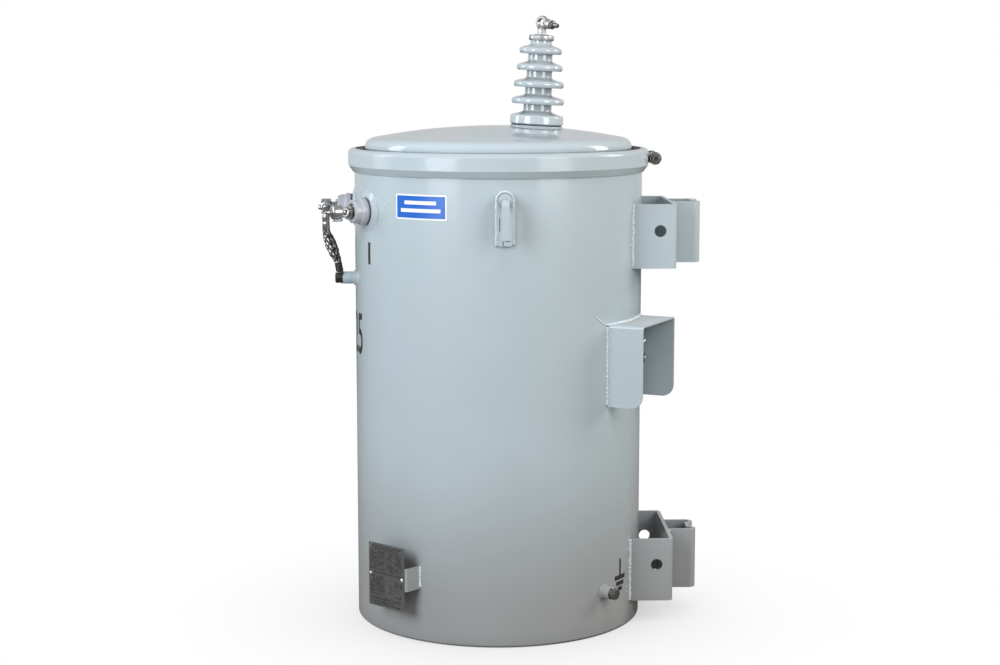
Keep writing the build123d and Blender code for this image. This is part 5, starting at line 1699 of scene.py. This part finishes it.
class TRANSFORMER_OT_markings(bpy.types.Operator):
    """Stencil the terminal numbers, the rating and the earth sign, and stick on the film label"""
    bl_idname = "transformer.markings"
    bl_label = "Markings"

    def execute(self, context):
        settings = context.scene.transformer_markings
        figures = []
        for text, angle in (("1", NUMBER_ANGLE), ("2", 178.0), ("3", 207.8)):
            digit = stencil("number", text, settings.digit_height, 1.15, 0.0014)
            figures.append(stuck(digit, angle, NUMBER_HEIGHT, 8))
        rating = stencil("rating", str(settings.rating), settings.rating_height, 0.72, 0.0010)
        figures.append(stuck(rating, *RATING_PLACE, 16))
        bars = []
        for width, height, up in ((0.0054, 0.0300, 0.0145), (0.0350, 0.0080, -0.0034),
                                  (0.0260, 0.0076, -0.0140), (0.0150, 0.0072, -0.0240)):
            bars.append(mark_strip("earth", width, height, (0.0, up)))
        figures.append(stuck(join(bars, "earth_sign"), *EARTH_PLACE, 8))
        finish(join(figures, "stencilled_marks"), "Stencil Ink")

        width, height = settings.label_width, settings.label_height
        label = (LABEL_ANGLE, LABEL_HEIGHT, 24)
        border = rounded_panel("label_border", width, height, 0.0025, FILM)
        finish(stuck(border, *label), "Label Border")
        field = rounded_panel("label_field", width - 0.0050, height - 0.0050, 0.0012, 0.00006)
        finish(stuck(raised(field, FILM), *label), "Label Field")
        bars = []
        for width_share, up in ((0.62, 0.0072), (0.78, -0.0058)):
            bars.append(mark_strip("label_bar", width * width_share, 0.0062, (0.0, up)))
        rows = raised(join(bars, "label_rows"), 2.0 * FILM)
        finish(stuck(rows, *label), "Label Border")
        return {"FINISHED"}


STEPS = ("finishes", "brackets", "hood", "lifting_lugs", "cover_band", "line_bushing", "side_bushings",
         "bonding", "nameplate", "markings", "stage")


class TRANSFORMER_PT_panel(bpy.types.Panel):
    """Lists the transformer's pieces and settings"""
    bl_idname = "TRANSFORMER_PT_panel"
    bl_label = "Pole Mounted Transformer"
    bl_space_type = "VIEW_3D"
    bl_region_type = "UI"
    bl_category = "Transformer"

    def draw(self, context):
        for group in (context.scene.transformer_enamel, context.scene.transformer_hardware,
                      context.scene.transformer_markings):
            box = self.layout.box()
            for name in group.__annotations__:
                box.prop(group, name)
        for step in STEPS:
            self.layout.operator("transformer." + step)


CLASSES = (
    EnamelSettings, HardwareSettings, MarkingSettings,
    TRANSFORMER_OT_finishes, TRANSFORMER_OT_brackets, TRANSFORMER_OT_hood, TRANSFORMER_OT_lifting_lugs,
    TRANSFORMER_OT_cover_band, TRANSFORMER_OT_line_bushing, TRANSFORMER_OT_side_bushings,
    TRANSFORMER_OT_bonding, TRANSFORMER_OT_nameplate, TRANSFORMER_OT_markings, TRANSFORMER_OT_stage,
    TRANSFORMER_PT_panel,
)


def register():
    for cls in CLASSES:
        bpy.utils.register_class(cls)
    bpy.types.Scene.transformer_enamel = PointerProperty(type=EnamelSettings)
    bpy.types.Scene.transformer_hardware = PointerProperty(type=HardwareSettings)
    bpy.types.Scene.transformer_markings = PointerProperty(type=MarkingSettings)


def unregister():
    del bpy.types.Scene.transformer_enamel
    del bpy.types.Scene.transformer_hardware
    del bpy.types.Scene.transformer_markings
    for cls in reversed(CLASSES):
        bpy.utils.unregister_class(cls)


def main():
    register()
    deselect()
    for step in STEPS:
        getattr(bpy.ops.transformer, step)()


if __name__ == "__main__":
    main()
